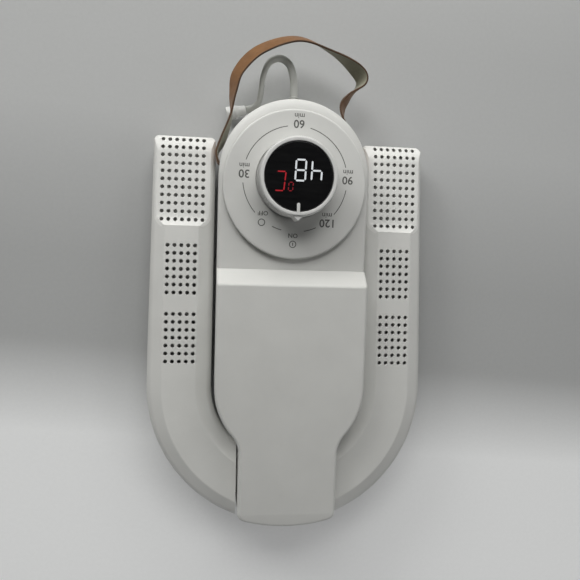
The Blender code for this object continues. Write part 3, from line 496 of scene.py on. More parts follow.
def carve(bm, *tools, operation="DIFFERENCE"):
    """The mesh with each tool taken from it, or joined to it, by a Boolean."""
    body = holder(bm, "carved")
    helpers = [holder(tool, "carver") for tool in tools]
    for helper in helpers:
        boolean = body.modifiers.new(helper.name, "BOOLEAN")
        boolean.operation = operation
        boolean.solver = "MANIFOLD"
        boolean.object = helper
    shaped = body.evaluated_get(bpy.context.evaluated_depsgraph_get())
    result = bmesh.new()
    result.from_mesh(shaped.to_mesh())
    shaped.to_mesh_clear()
    for helper in (body, *helpers):
        mesh = helper.data
        bpy.data.objects.remove(helper)
        bpy.data.meshes.remove(mesh)
    return result


def finish(name, bm, skins, body, replaces=(), sharp=30, even=True):
    """The piece: in the frame, shaded smooth up to a sharp angle, riding on its body."""
    solid(bm)
    bmesh.ops.dissolve_degenerate(bm, edges=bm.edges, dist=0.0004)
    bmesh.ops.scale(bm, verts=bm.verts, vec=(MM, MM, MM))
    bmesh.ops.translate(bm, verts=bm.verts, vec=(0, DIAL_Y * MM, 0))
    mesh = bpy.data.meshes.new(name)
    bm.to_mesh(mesh)
    bm.free()
    mesh.shade_smooth()
    mesh.set_sharp_from_angle(angle=math.radians(sharp))
    for skin in skins if isinstance(skins, tuple) else (skins,):
        mesh.materials.append(skin)
    piece = link(name, mesh)
    if even:
        weighted = piece.modifiers.new("even_shading", "WEIGHTED_NORMAL")
        weighted.keep_sharp = True
    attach(piece, body)
    if replaces:
        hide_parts(*([replaces] if isinstance(replaces, str) else replaces))
    return piece


def add_ring(bm, points):
    return [bm.verts.new(point) for point in points]


def bridge(bm, first, second):
    """Faces between two rings of as many points, or a fan where one ring is a single point."""
    count = max(len(first), len(second))
    for i in range(count):
        j = (i + 1) % count
        near = [first[i % len(first)], first[j % len(first)]]
        far = [second[j % len(second)], second[i % len(second)]]
        unique = list(dict.fromkeys(near + far))
        if len(unique) > 2:
            bm.faces.new(unique)


def loft(sections, looped=False):
    """A skin through closed sections, capped at both ends unless it closes on itself."""
    bm = bmesh.new()
    rings = [add_ring(bm, section) for section in sections]
    for first, second in zip(rings, rings[1:]):
        bridge(bm, first, second)
    if looped:
        bridge(bm, rings[-1], rings[0])
        return bm
    for ring in (rings[0], rings[-1]):
        if len(ring) > 2:
            bm.faces.new(ring)
    return bm


def lathe(profile, sides, looped=False, ripple=None):
    """(radius, height, ripple share) points turned about Z, with an optional ripple(angle) in the radius."""
    sections = []
    for radius, height, *share in profile:
        if radius == 0:
            sections.append([(0, 0, height)])
            continue
        section = []
        for i in range(sides):
            a = math.tau * i / sides
            r = radius + (share[0] * ripple(a) if ripple and share else 0)
            section.append((r * math.cos(a), r * math.sin(a), height))
        sections.append(section)
    return loft(sections, looped)


def fillet(corners, steps=4):
    """A closed outline through (x, y, radius) corners, each one rounded to its radius."""
    points = []
    for i, (x, y, radius) in enumerate(corners):
        here = Vector((x, y))
        back = (Vector(corners[i - 1][:2]) - here).normalized()
        ahead = (Vector(corners[(i + 1) % len(corners)][:2]) - here).normalized()
        half = back.angle(ahead) / 2
        centre = here + (back + ahead).normalized() * radius / math.sin(half)
        start = here + back * radius / math.tan(half) - centre
        turn = start.angle_signed(here + ahead * radius / math.tan(half) - centre)
        for k in range(steps + 1):
            spoke = start.copy()
            spoke.rotate(Matrix.Rotation(-turn * k / steps, 2))
            points.append(tuple(centre + spoke))
    return points


def shrink(outline, distance):
    """A counter-clockwise outline moved inwards."""
    moved = []
    for i, here in enumerate(outline):
        back, ahead = Vector(outline[i - 1]), Vector(outline[(i + 1) % len(outline)])
        here = Vector(here)
        first, second = (here - back).normalized(), (ahead - here).normalized()
        normals = [Vector((-edge.y, edge.x)) for edge in (first, second)]
        middle = (normals[0] + normals[1]).normalized()
        moved.append(here + middle * distance / max(0.3, middle.dot(normals[0])))
    return moved


def plaque(outline, low, high, bevel, steps=3):
    """A counter-clockwise outline raised from low to high, with its upper edge rounded."""
    sections = [[(x, y, low) for x, y in outline]]
    for k in range(steps + 1):
        a = math.radians(90 * k / steps)
        inner = shrink(outline, bevel * (1 - math.cos(a)))
        sections.append([(x, y, high - bevel * (1 - math.sin(a))) for x, y in inner])
    return loft(sections)


def box(low, high):
    bm = bmesh.new()
    low, high = Vector(low), Vector(high)
    place = Matrix.Translation((low + high) / 2) @ Matrix.Diagonal((*(high - low), 1))
    bmesh.ops.create_cube(bm, size=1, matrix=place)
    return bm


def merge(*meshes):
    """One mesh of several, which keep apart."""
    whole = bmesh.new()
    for bm in meshes:
        mesh = bpy.data.meshes.new("merged")
        bm.to_mesh(mesh)
        bm.free()
        whole.from_mesh(mesh)
        bpy.data.meshes.remove(mesh)
    return whole


def moved(bm, place):
    bmesh.ops.transform(bm, matrix=place, verts=bm.verts)
    return bm


def pointed(bm, start, way):
    """A mesh about its own Z, laid along a direction from a start."""
    return moved(bm, Matrix.Translation(start) @ way.to_track_quat("Z", "Y").to_matrix().to_4x4())


def upright(outline, low, high):
    """A prism of an (x, y) outline from low to high."""
    return loft([[(x, y, z) for x, y in outline] for z in (low, high)])


def blended(value, start, end):
    """0 before start, 1 after end, and smooth between."""
    t = min(1.0, max(0.0, (value - start) / (end - start)))
    return t * t * (3 - 2 * t)


# ---- body shells


def arc(centre, radius, start, end, steps, hollow=False):
    """(x, y, outward normal x, y) on an arc, with its angles in degrees."""
    points = []
    for i in range(steps + 1):
        a = math.radians(start + (end - start) * i / steps)
        spoke = Vector((math.cos(a), math.sin(a)))
        spot = Vector(centre) + spoke * radius
        points.append((*spot, *(-spoke if hollow else spoke)))
    return points


def side_points(*places):
    return [(BODY_HALF, y, 1.0, 0.0) for y in places]


def end_points():
    """Right half of the rounded end, from the middle to the straight side."""
    return arc((0, END_CENTRE_Y), BODY_HALF, 90, 0, 36)


def tail_points():
    """Right half of the shoulder, neck and neck end, down to the middle."""
    fillet_x = NECK_HALF + NECK_FILLET_R
    lean = math.degrees(math.atan2(SHOULDER_DROP, fillet_x - SHOULDER_X))
    shoulder = arc((SHOULDER_X, SHOULDER_Y), SHOULDER_R, 0, -lean, 22)
    waist = arc((fillet_x, NECK_FILLET_Y), NECK_FILLET_R, 180 - lean, 180, 14, hollow=True)[1:]
    corner = arc(NECK_CORNER, NECK_CORNER_R, 0, -72, 8)
    end_angle = -90 + math.degrees(math.asin(NECK_CORNER[0] / NECK_END_R))
    end = arc((0, NECK_END_Y + NECK_END_R), NECK_END_R, end_angle, -90, 8)
    return shoulder + waist + corner + end


def pillow(outline, base_z, top, width, depth, inset=0.0, steps=7):
    """A symmetric body over half an outline: walls from base_z, an elliptical rim, then a face at top(y)."""
    levels = [None, *(math.radians(90 * i / steps) for i in range(steps + 1))]
    bm = bmesh.new()
    rows = []
    for level in levels:
        right, left = [], []
        for x, y, normal_x, normal_y in outline:
            inwards, z = inset, base_z
            if level is not None:
                face_y = y - normal_y * (inset + width(y))
                inwards += width(y) * (1 - math.cos(level))
                z = top(face_y) - depth(y) * (1 - math.sin(level))
            x, y = x - normal_x * inwards, y - normal_y * inwards
            right.append(bm.verts.new((x, y, z)))
            left.append(bm.verts.new((-x, y, z)))
        rows.append((right, left))
    last = len(outline) - 1
    for (right, left), (next_right, next_left) in zip(rows, rows[1:]):
        for i in range(last):
            bm.faces.new((right[i], right[i + 1], next_right[i + 1], next_right[i]))
            bm.faces.new((left[i + 1], left[i], next_left[i], next_left[i + 1]))
        bm.faces.new((left[0], right[0], next_right[0], next_left[0]))
        bm.faces.new((right[last], left[last], next_left[last], next_right[last]))
    for right, left in (rows[0], rows[-1]):
        for i in range(last):
            bm.faces.new((right[i], right[i + 1], left[i + 1], left[i]))
    return bm


def front_top(y):
    """The low front face rises slightly from the step to the rounded end."""
    return LOW_FRONT_Z + (HIGH_FRONT_Z - LOW_FRONT_Z) * blended(y, *FRONT_RISE_Y)


def cover_top(y):
    """The cover's face: up the step, round its crease, level, then a slight fall to the neck's end."""
    rise = COVER_FRONT_Z - LOW_FRONT_Z
    slope = math.atan2(rise, STEP_RUN)
    crease_y = STEP_TOP_Y - STEP_RUN - CREASE_R * math.tan(slope / 2)
    if y > crease_y + CREASE_R * math.sin(slope):
        return LOW_FRONT_Z + rise * (STEP_TOP_Y - y) / STEP_RUN
    if y > crease_y:
        return COVER_FRONT_Z - CREASE_R + math.sqrt(CREASE_R ** 2 - (y - crease_y) ** 2)
    share = max(0.0, NECK_END_Y + NECK_SLOPE - y) / NECK_SLOPE
    return COVER_FRONT_Z - NECK_FALL * share ** 2


def end_width(y):
    """The rim's width, which grows round the dial's end."""
    return 2.0 + 7.0 * blended(y, *END_ROUND_Y)


def end_depth(y):
    return 2.0 + 1.6 * blended(y, *END_ROUND_Y)


def cover_rim(y):
    """The cover's rim, which is smaller along the step."""
    return 1.1 + 1.0 * blended(STEP_TOP_Y - y, 0, 10)


def always(value):
    return lambda y: value


def rod(start, end, radius, sides=48):
    start, end = Vector(start), Vector(end)
    turn = (end - start).to_track_quat("Z", "Y").to_matrix().to_4x4()
    bm = bmesh.new()
    bmesh.ops.create_cone(bm, cap_ends=True, segments=sides, radius1=radius, radius2=radius,
                          depth=(end - start).length, matrix=Matrix.Translation((start + end) / 2) @ turn)
    return bm


def neck_bore():
    reach = NECK_HALF + 4
    return rod((-reach, HINGE_Y, HINGE_Z), (reach, HINGE_Y, HINGE_Z), BUSH_HIGH.z - HINGE_Z + 0.3, 64)


def strap_slots():
    """Rounded slots for the strap, through both side walls and across the seam."""
    (first_y, last_y), (low_z, high_z) = STRAP_SLOT_Y, STRAP_SLOT_Z
    corners = ((first_y, low_z), (last_y, low_z), (last_y, high_z), (first_y, high_z))
    outline = fillet([(y, z, 1.2) for y, z in corners])
    slots = []
    for sign in SIDES.values():
        slots.append(loft([[(sign * x, y, z) for y, z in outline] for x in (43, 50)]))
    return merge(*slots)


def make_front_shell():
    outline = end_points() + side_points(-10, -25, -40, STEP_TOP_Y + SPLIT / 2)
    shell = pillow(outline, SEAM_Z + SEAM_GAP, front_top, end_width, end_depth)
    open_outline = end_points() + side_points(-25, STEP_TOP_Y - 4)
    cavity = pillow(open_outline, SEAM_Z - 4, always(CAVITY_TOP_Z), always(3.0), always(3.0), WALL, 3)
    seat = loft([oval(0, 1, -SPLIT, z, 144) for z in (PANEL_LOW.z - SPLIT, 60)])
    hole = rod((0, 0, 30), (0, 0, 60), PANEL_HOLE_R, 96)
    shell = carve(shell, cavity, seat, hole, strap_slots())
    finish("front_shell_fine", shell, WHITE, "housing", "front_shell")


def make_heater_cover():
    steps_y = [STEP_TOP_Y - SPLIT / 2, STEP_TOP_Y - 3, STEP_TOP_Y - 6]
    steps_y += [STEP_TOP_Y - 8.1 - 0.3 * i for i in range(9)] + [STEP_TOP_Y - 16, -95]
    outline = side_points(*steps_y) + tail_points()
    cover = pillow(outline, SEAM_Z + SEAM_GAP, cover_top, cover_rim, cover_rim)

    def inner_top(y):
        return cover_top(min(y, STEP_TOP_Y - 1)) - WALL - 0.4

    open_sides = side_points(STEP_TOP_Y + 4, STEP_TOP_Y - 1, STEP_TOP_Y - STEP_RUN - 1)
    cavity = pillow(open_sides + tail_points(), SEAM_Z - 4, inner_top, always(1.6), always(1.6), WALL, 3)
    cover = carve(cover, cavity, neck_bore())
    finish("heater_cover_fine", cover, WHITE, "housing", "heater_cover")


def make_back_cover():
    """The back: a rounded tray with recessed screws, a hole for the intake and a blank plate."""
    outline = end_points() + side_points(-40, -90) + tail_points()
    width, depth = BACK_CURVE
    cover = pillow(outline, SEAM_Z - SEAM_GAP, always(BACK_Z), always(width), always(-depth))
    width, depth = BACK_HOLLOW
    cavity = pillow(outline, SEAM_Z + 4, always(BACK_Z + WALL), always(width), always(-depth), WALL, 3)
    hole = rod((*INTAKE_MIDDLE.xy, 0), (*INTAKE_MIDDLE.xy, 6), INTAKE_R + SPLIT, 96)
    recesses = [rod((*place.xy, 0), (*place.xy, BACK_Z + 1.2), 3.3, 32) for place in SCREW_PLACES]
    holes = [rod((*place.xy, 0), (*place.xy, 7), 1.7, 24) for place in SCREW_PLACES]
    cover = carve(cover, cavity, neck_bore(), strap_slots(), hole, *recesses)
    cover = carve(cover, *holes)
    finish("back_cover_fine", cover, WHITE, "housing", "back_cover")

    corners = [(-22, -38, 3), (22, -38, 3), (22, -12, 3), (-22, -12, 3)]
    plate = moved(plaque(fillet(corners), 0, 0.25, 0.15), Matrix.Diagonal((1, 1, -1, 1)))
    moved(plate, Matrix.Translation((0, 0, BACK_Z)))
    finish("blank_rating_plate", plate, PALE, "housing")


def make_intake_grille():
    """A round guard: a rim with rounded slots between its bars."""
    low, high = INTAKE_LOW.z, INTAKE_HIGH.z
    radius, middle, half = INTAKE_R, INTAKE_MIDDLE, INTAKE_SLOT_HALF
    profile = [(0, high), (radius - 0.3, high), (radius, high - 0.3), (radius, low + 0.3)]
    profile += [(radius - 0.3, low), (radius - 2.2, low), (radius - 2.6, low + 0.35), (0, low + 0.35)]
    guard = moved(lathe(profile, 96), Matrix.Translation((*middle.xy, 0)))
    slots = []
    for i in range(-5, 6):
        x = middle.x + i * INTAKE_SLOT_PITCH
        reach = math.sqrt(INTAKE_SLOT_REACH ** 2 - (i * INTAKE_SLOT_PITCH) ** 2)
        corners = ((-half, -reach), (half, -reach), (half, reach), (-half, reach))
        outline = fillet([(x + dx, middle.y + dy, half - 0.05) for dx, dy in corners])
        slots.append(upright(outline, low - 2, high + 2))
    finish("intake_guard", carve(guard, merge(*slots)), GREY, "housing", "intake_grille")


def make_feet():
    """Rubber feet with a rounded edge and a shallow ring in the sole."""
    for side in SIDES:
        for end in ("top", "neck"):
            low, high = local(f"{side}_{end}_foot")
            middle = (low + high) / 2
            radius = high.x - middle.x
            profile = [(0, high.z), (radius - 0.6, high.z), (radius, 0.9), (radius - 0.15, 0.4)]
            profile += [(radius - 0.5, 0.05), (radius - 0.9, 0)]
            profile += [(4.2, 0), (3.9, 0.35), (3.1, 0.35), (2.8, 0), (0, 0)]
            foot = moved(lathe(profile, 48), Matrix.Translation((*middle.xy, 0)))
            finish(f"{side}_{end}_foot_fine", foot, RUBBER, "housing", f"{side}_{end}_foot")


def make_screw(node, body):
    """A pan-head screw with a cross recess, facing down."""
    low, high = local(node)
    middle = (low + high) / 2
    head, shank = (high.x - low.x) / 2, 1.35
    profile = [(0, low.z), (head * 0.45, low.z + 0.03), (head * 0.8, low.z + 0.18), (head, low.z + 0.55)]
    profile += [(head, low.z + 0.82), (shank, low.z + 0.85), (shank, high.z - 2), (0, high.z)]
    screw = lathe(profile, 40)
    arms = []
    for turn in (0, 90):
        cross = box((-1.55, -0.3, low.z - 1), (1.55, 0.3, low.z + 0.62))
        arms.append(moved(cross, Matrix.Rotation(math.radians(turn + 20), 4, "Z")))
    screw = moved(carve(screw, *arms), Matrix.Translation((*middle.xy, 0)))
    finish(node + "_fine", screw, STEEL, body, node)


# ---- dial and display


def circle(radius, z, sides):
    angles = [math.tau * i / sides for i in range(sides)]
    return [(radius * math.cos(a), radius * math.sin(a), z) for a in angles]


def oval(base, share, inset, z, sides):
    """The panel's outline, or a blend of it with a circle of the bore, which has its own centre."""
    points = []
    for i in range(sides):
        a = math.tau * i / sides
        wide = base + PANEL_R * share - inset
        tall = base + PANEL_REACH * share - inset
        points.append((wide * math.cos(a), PANEL_CENTRE_Y * share + tall * math.sin(a), z))
    return points


def make_dial_panel():
    """The raised plate: a rounded outer edge, and off its centre a bore and the groove round the ring."""
    low, sides = PANEL_LOW.z, 180
    lip_r = GROOVE_R + 0.1
    inner = [(PANEL_HOLE_R, low), (PANEL_HOLE_R, GROOVE_Z), (GROOVE_R, GROOVE_Z)]
    inner += [(GROOVE_R, PANEL_Z - 0.1), (lip_r, PANEL_Z)]
    sections = [circle(radius, z, sides) for radius, z in inner]
    for share in (0.1, 0.45, 0.82):
        sections.append(oval(lip_r * (1 - share), share, 0, PANEL_Z, sides))
    for degrees in (0, 15, 30, 45, 60, 75, 90):
        a = math.radians(degrees)
        inset = 1.3 * (1 - math.sin(a))
        sections.append(oval(0, 1, inset, PANEL_Z - 0.9 * (1 - math.cos(a)), sides))
    sections.append(oval(0, 1, 0, low, sides))
    finish("dial_panel_fine", loft(sections, True), FACE, "housing", "dial_panel")


def make_knob():
    """The turning ring: a knurled grip with a smooth rounded rim, a pointer nub and an index bar."""
    top, foot = RING_FRONT_Z, RING_FOOT_Z

    def ripple(a):
        return -KNURL_DEPTH * (1 - abs(math.sin(a * KNURLS / 2)))

    skirt = PANEL_HOLE_R - 0.5
    profile = [(RING_BORE_R, RING_LOW.z, 0), (RING_BORE_R, top - 0.35, 0)]
    profile += [(RING_BORE_R + 0.12, top - 0.08, 0), (RING_BORE_R + 0.4, top, 0), (RING_R - 1.5, top, 0)]
    for degrees in (15, 30, 45, 60, 75, 90):
        a = math.radians(degrees)
        radius = RING_R - 1.5 + 1.35 * math.sin(a)
        profile.append((radius, top - 1.4 * (1 - math.cos(a)), degrees / 90))
    profile += [(RING_R - 0.05, top - 1.9, 1), (RING_R, top - 2.3, 1), (RING_R, PANEL_Z + 0.6, 1)]
    profile += [(RING_R, PANEL_Z + 0.4, 0), (RING_R, foot + 0.3, 0), (RING_R - 0.3, foot, 0)]
    profile += [(skirt, foot, 0), (skirt, RING_LOW.z, 0)]
    ring = lathe(profile, KNURLS * 4, True, ripple)
    finish("knob_ring_fine", ring, GRIP, "timer_dial", "knob_ring", sharp=50, even=False)

    half, root = POINTER_HALF, 1.0 - RING_R
    corners = [(-half, root, 0.3), (0, -RING_R - POINTER_REACH, 0.7), (half, root, 0.3)]
    nub = plaque(fillet(corners), PANEL_Z + 2.8, top - 0.5, 0.6)
    finish("knob_pointer", nub, GRIP, "timer_dial", sharp=50)

    half, outer, inner = INDEX_HALF, 1.2 - RING_R, -INDEX_INNER_R
    corners = [(-half, outer, 0.4), (half, outer, 0.4), (half, inner, 0.9), (-half, inner, 0.9)]
    bar = plaque(fillet(corners), top - 0.3, top + 0.45, 0.25)
    finish("index_bar", bar, GRIP, "timer_dial", sharp=50)


def make_lens():
    low, high = LENS_LOW.z, LENS_HIGH.z
    profile = [(0, high), (LENS_R - 0.5, high), (LENS_R - 0.2, high - 0.08)]
    profile += [(LENS_R, high - 0.4), (LENS_R, low), (0, low)]
    finish("display_window", lathe(profile, 128), LENS, "housing", "display_lens")


def segment(start, end, half):
    """A bar of a numeral: a six-sided prism from start to end, lying on the window."""
    start, end = Vector(start), Vector(end)
    along = (end - start).normalized()
    side = Vector((-along.y, along.x)) * half
    near, far = start + along * half, end - along * half
    outline = [start, near - side, far - side, end, far + side, near + side]
    high = LENS_HIGH.z
    return plaque([tuple(p) for p in outline], high - 0.02, high + 0.03, 0.01, 1)


def numeral(bars, centre, width, height, half, slant):
    """The lit bars of one seven-bar numeral, named by the places that its bars join."""
    right, high = width / 2, height / 2
    spots = {
        "top": ((-right, high), (right, high)),
        "middle": ((-right, 0), (right, 0)),
        "bottom": ((-right, -high), (right, -high)),
        "upper_left": ((-right, 0), (-right, high)),
        "upper_right": ((right, 0), (right, high)),
        "lower_left": ((-right, -high), (-right, 0)),
        "lower_right": ((right, -high), (right, 0)),
    }
    made = []
    for bar in bars:
        ends = [Vector(spot) for spot in spots[bar]]
        along = (ends[1] - ends[0]).normalized()
        ends = [ends[0] + along * BAR_TRIM, ends[1] - along * BAR_TRIM]
        ends = [(p.x + slant * p.y + centre[0], p.y + centre[1]) for p in ends]
        made.append(segment(*ends, half))
    return made


DEGREE = ("top", "bottom", "upper_left", "upper_right", "lower_left", "lower_right")
EIGHT = ("middle", *DEGREE)
FOUR_TURNED = ("upper_left", "lower_left", "middle", "lower_right")
C_TURNED = ("top", "bottom", "upper_right", "lower_right")


def make_numerals():
    """48 and a degree sign with C, upside down as the dryer lies."""
    white = numeral(EIGHT, (0.75, 3.6), 5.9, 12.2, 0.52, 0.04)
    white += numeral(FOUR_TURNED, (10.4, 3.6), 5.9, 11.8, 0.52, 0.04)
    red = numeral(C_TURNED, (-11.2, -3.2), 5.4, 11.2, 0.38, 0.1)
    dim = numeral(DEGREE, (-4.9, -6.2), 2.6, 5.0, 0.3, 0.08)
    lights = {"white": (white, WHITE_LIGHT), "red": (red, RED_LIGHT), "dim": (dim, DIM_LIGHT)}
    for name, (bars, skin) in lights.items():
        finish(f"{name}_numerals", merge(*bars), skin, "housing", sharp=20, even=False)


def words(text, height, centre, bold=0.0):
    """A word in thin raised ink, upside down, as high as asked and with its middle at the centre."""
    curve = bpy.data.curves.new("word", "FONT")
    curve.body = text
    curve.size = 10
    curve.resolution_u = 3
    curve.extrude = 0.05
    curve.offset = bold
    writer = link("writer", curve)
    shaped = writer.evaluated_get(bpy.context.evaluated_depsgraph_get())
    bm = bmesh.new()
    bm.from_mesh(shaped.to_mesh())
    shaped.to_mesh_clear()
    bpy.data.objects.remove(writer)
    bpy.data.curves.remove(curve)
    bmesh.ops.remove_doubles(bm, verts=bm.verts, dist=0.002)
    xs, ys = [v.co.x for v in bm.verts], [v.co.y for v in bm.verts]
    middle = Vector(((min(xs) + max(xs)) / 2, (min(ys) + max(ys)) / 2, 0))
    scale = height / (max(ys) - min(ys))
    turn = Matrix.Rotation(math.pi, 4, "Z") @ Matrix.Diagonal((scale, scale, 0.6, 1))
    return moved(bm, Matrix.Translation((*centre, PANEL_Z)) @ turn @ Matrix.Translation(-middle))


def band(radius, start, end, half):
    """A printed arc on the panel, in degrees."""
    steps = max(2, round(abs(end - start) / 3))
    outer = [(radius + half, start + (end - start) * i / steps) for i in range(steps + 1)]
    inner = [(radius - half, a) for _, a in reversed(outer)]
    outline = [(r * math.cos(math.radians(a)), r * math.sin(math.radians(a))) for r, a in outer + inner]
    return upright(outline, PANEL_Z - INK_RISE, PANEL_Z + INK_RISE)


def ring_mark(centre):
    """A printed circle."""
    inner, outer = SIGN_R - SIGN_HALF, SIGN_R + SIGN_HALF
    low, high = PANEL_Z - INK_RISE, PANEL_Z + INK_RISE
    rows = [circle(r, z, 32) for r, z in ((inner, low), (inner, high), (outer, high), (outer, low))]
    return moved(loft(rows, True), Matrix.Translation((*centre, 0)))


def make_printing():
    """The time scale: arcs broken by their times, and signs for on and off."""
    marks = [band(SCALE_R, start, end, SCALE_HALF) for start, end in SCALE_ARCS]
    for text, x, y in (("30", -31.8, 1.7), ("60", 1.3, 33.2), ("90", 32.8, 0.2), ("120", 20.4, -26.9)):
        marks.append(words(text, 5.1, (x, y + 0.3), 0.14))
        marks.append(words("min", 2.9, (x + 0.2, y + 5.4), 0.1))
    marks.append(words("OFF", 2.7, (-19.6, -21.6), 0.12))
    marks.append(words("ON", 2.8, (-0.5, -34.9), 0.12))
    marks += [ring_mark(OFF_SIGN), ring_mark(ON_SIGN)]
    bar = box((-0.27, -1.0, -INK_RISE), (0.27, 1.0, INK_RISE))
    marks.append(moved(bar, Matrix.Translation((*ON_SIGN, PANEL_Z))))
    finish("dial_printing", merge(*marks), INK, "housing", sharp=20, even=False)


# ---- arms


def arm_front(y):
    """Height of the arm's front face, which falls towards the tip."""
    return ARM_FRONT_Z - ARM_TAPER * y


def arm_seam(y):
    return (arm_front(y) + ARM_BACK_Z) / 2


def normal_at(tilt):
    """Outward normal of a front face that falls towards the tip by an angle."""
    return Vector((0, math.sin(tilt), math.cos(tilt)))


def bend(start, first, last, radius, steps):
    """(point, normal, tilt) along an arc of the front line, outward from start, and the line's end."""
    centre = start - normal_at(first) * radius
    frames = []
    for i in range(steps + 1):
        tilt = first + (last - first) * i / steps
        frames.append((centre + normal_at(tilt) * radius, normal_at(tilt), tilt))
    return frames


def tip_frames():
    """(point, normal, tilt) down the tip's front line, from above the ramp to the end."""
    ramp = Vector((0, RAMP_Y, arm_front(RAMP_Y)))
    back = Vector((0, -math.cos(RAMP_TILT), math.sin(RAMP_TILT))) * 1.5
    frames = [(ramp + back, normal_at(RAMP_TILT), RAMP_TILT)]
    centre = ramp + normal_at(RAMP_TILT) * RAMP_R
    steps = 14
    for i in range(steps + 1):
        tilt = RAMP_TILT + (FLAT_TILT - RAMP_TILT) * i / steps
        frames.append((centre - normal_at(tilt) * RAMP_R, normal_at(tilt), tilt))
    last = frames[-1][0] + Vector((0, 1, -math.tan(FLAT_TILT))) * (BEND_Y - FLAT_Y)
    frames += bend(last, FLAT_TILT, NOSE_TILT, BEND_R, 10)
    frames += bend(frames[-1][0], NOSE_TILT, math.radians(90), NOSE_R, 14)[1:]
    return frames


TIP_FRAMES = tip_frames()
TIP_END_Y = TIP_FRAMES[-1][0].y
TIP_CORNER_Y = TIP_END_Y - TIP_CORNER_R + 0.4


def line_frame(y):
    """Height and tilt of the tip's front line."""
    for (first, _, tilt), (second, _, next_tilt) in zip(TIP_FRAMES, TIP_FRAMES[1:]):
        if first.y <= y <= second.y:
            share = (y - first.y) / (second.y - first.y)
            return first.z + (second.z - first.z) * share, tilt + (next_tilt - tilt) * share
    return arm_front(y), ARM_TILT


def prism(sign, points):
    """A body as wide as an arm and more, through (y, z) points."""
    middle, reach = sign * ARM_CENTRE_R, ARM_HALF + 30
    return loft([[(x, y, z) for y, z in points] for x in (middle - reach, middle + reach)])


def tip_profile(inset):
    """(y, z) round everything behind and below the tip's front line and above its rounded underside."""
    start = TIP_FRAMES[0][0]
    points = [(FAR_Y, 0), (FAR_Y, ABOVE_Z), (start.y, ABOVE_Z)]
    points += [(spot.y, spot.z) for spot in (point - way * inset for point, way, _ in TIP_FRAMES)]
    reach = UNDER_R - inset
    for degrees in range(0, 91, 9):
        a = math.radians(min(degrees, 86))
        points.append((TIP_END_Y - UNDER_R + reach * math.cos(a), NOSE_LOW_Z - reach * math.sin(a)))
    return points + [(TIP_END_Y - 20, 0)]


def arm_stations(inset):
    """(centre, direction across, half width, front height or None) from the hinge to past the tip."""
    stations = []
    ring_steps = 26
    for i in range(ring_steps + 1):
        a = math.radians(-76 + 76 * i / ring_steps)
        across = Vector((math.cos(a), math.sin(a), 0))
        stations.append((Vector((0, ARM_RING_Y, 0)) + across * ARM_CENTRE_R, across, ARM_HALF, None))
    across = Vector((1, 0, 0))
    for y in (-110, -85, -60, -30, 0, 15, TIP_CORNER_Y):
        stations.append((Vector((ARM_CENTRE_R, y, 0)), across, ARM_HALF, None))
    narrow = ARM_HALF - TIP_CORNER_R + inset
    steps = 10
    for i in range(1, steps + 1):
        a = math.radians(90 * i / steps)
        y = TIP_CORNER_Y + (TIP_CORNER_R - inset) * math.sin(a)
        height = line_frame(min(y, TIP_END_Y - 0.3))[0] + 0.9 + 3.1 * math.cos(a) ** 2
        half = narrow + (TIP_CORNER_R - inset) * math.cos(a)
        stations.append((Vector((ARM_CENTRE_R, y, 0)), across, half, height))
    stations.append((Vector((ARM_CENTRE_R, TIP_END_Y + 1.3 - inset, 0)), across, narrow, height))
    return stations


def arm_quarter(half, strip):
    """(distance across, drop) from the strip over its soft crease, down the facet and into the side."""
    slope = math.tan(ARM_FACET)
    soft = ARM_CREASE_HALF
    points = []
    for i in range(5):
        reach = 2 * soft * i / 4
        points.append((strip - soft + reach, slope * reach ** 2 / (4 * soft)))
    radius = min(ARM_EDGE_R, (half - strip) * 0.8)
    centre = (half - strip) * slope + radius * math.tan(math.radians(45) - ARM_FACET / 2)
    steps = 9
    for i in range(steps + 1):
        a = ARM_FACET + (math.pi / 2 - ARM_FACET) * i / steps
        points.append((half - radius + radius * math.sin(a), centre - radius * math.cos(a)))
    return points


def arm_section(station, inset, sign):
    """Points round one station: a flat strip on both faces, sloping facets and rounded sides."""
    centre, across, half, front = station
    half -= inset
    quarter = arm_quarter(half, ARM_STRIP_HALF - inset * math.tan(ARM_FACET / 2))
    right = [(s, drop, 1) for s, drop in quarter] + [(s, drop, -1) for s, drop in reversed(quarter)]
    points = []
    for s, drop, way in right + [(-s, drop, way) for s, drop, way in reversed(right)]:
        reach = min(1, max(0, (centre.y - ARM_TAPER_Y) / (TIP_CORNER_Y - ARM_TAPER_Y)))
        beyond = max(0, s - ARM_STRIP_HALF)
        place = centre + across * (s - beyond * ARM_SIDE_TAPER * reach)
        top = (arm_front(place.y) if front is None else front) - inset
        low = ARM_BACK_Z + inset
        share = min(1, (top - low) * 0.49 / quarter[-1][1])
        points.append((place.x * sign, place.y, top - drop * share if way > 0 else low + drop * share))
    return points


def arm_body(inset, tip_inset, sign):
    """The arm's full section from hinge to tip, cut to the tip's profile."""
    whole = loft([arm_section(station, inset, sign) for station in arm_stations(inset)])
    return carve(whole, prism(sign, tip_profile(tip_inset)), operation="INTERSECT")


def seam_block(sign, above):
    """A big block on one side of the arm's sloping seam, for cutting away that half."""
    tilt = Matrix.Rotation(-math.atan(ARM_TAPER / 2), 4, "X")
    shift = -0.1 if above else 0.1
    middle_y = HINGE_Y + 100
    centre = Vector((sign * 60, middle_y, arm_seam(middle_y) + shift))
    block = box((-45, -150, 0 if above else -60), (45, 150, 60 if above else 0))
    return moved(block, Matrix.Translation(centre) @ tilt)


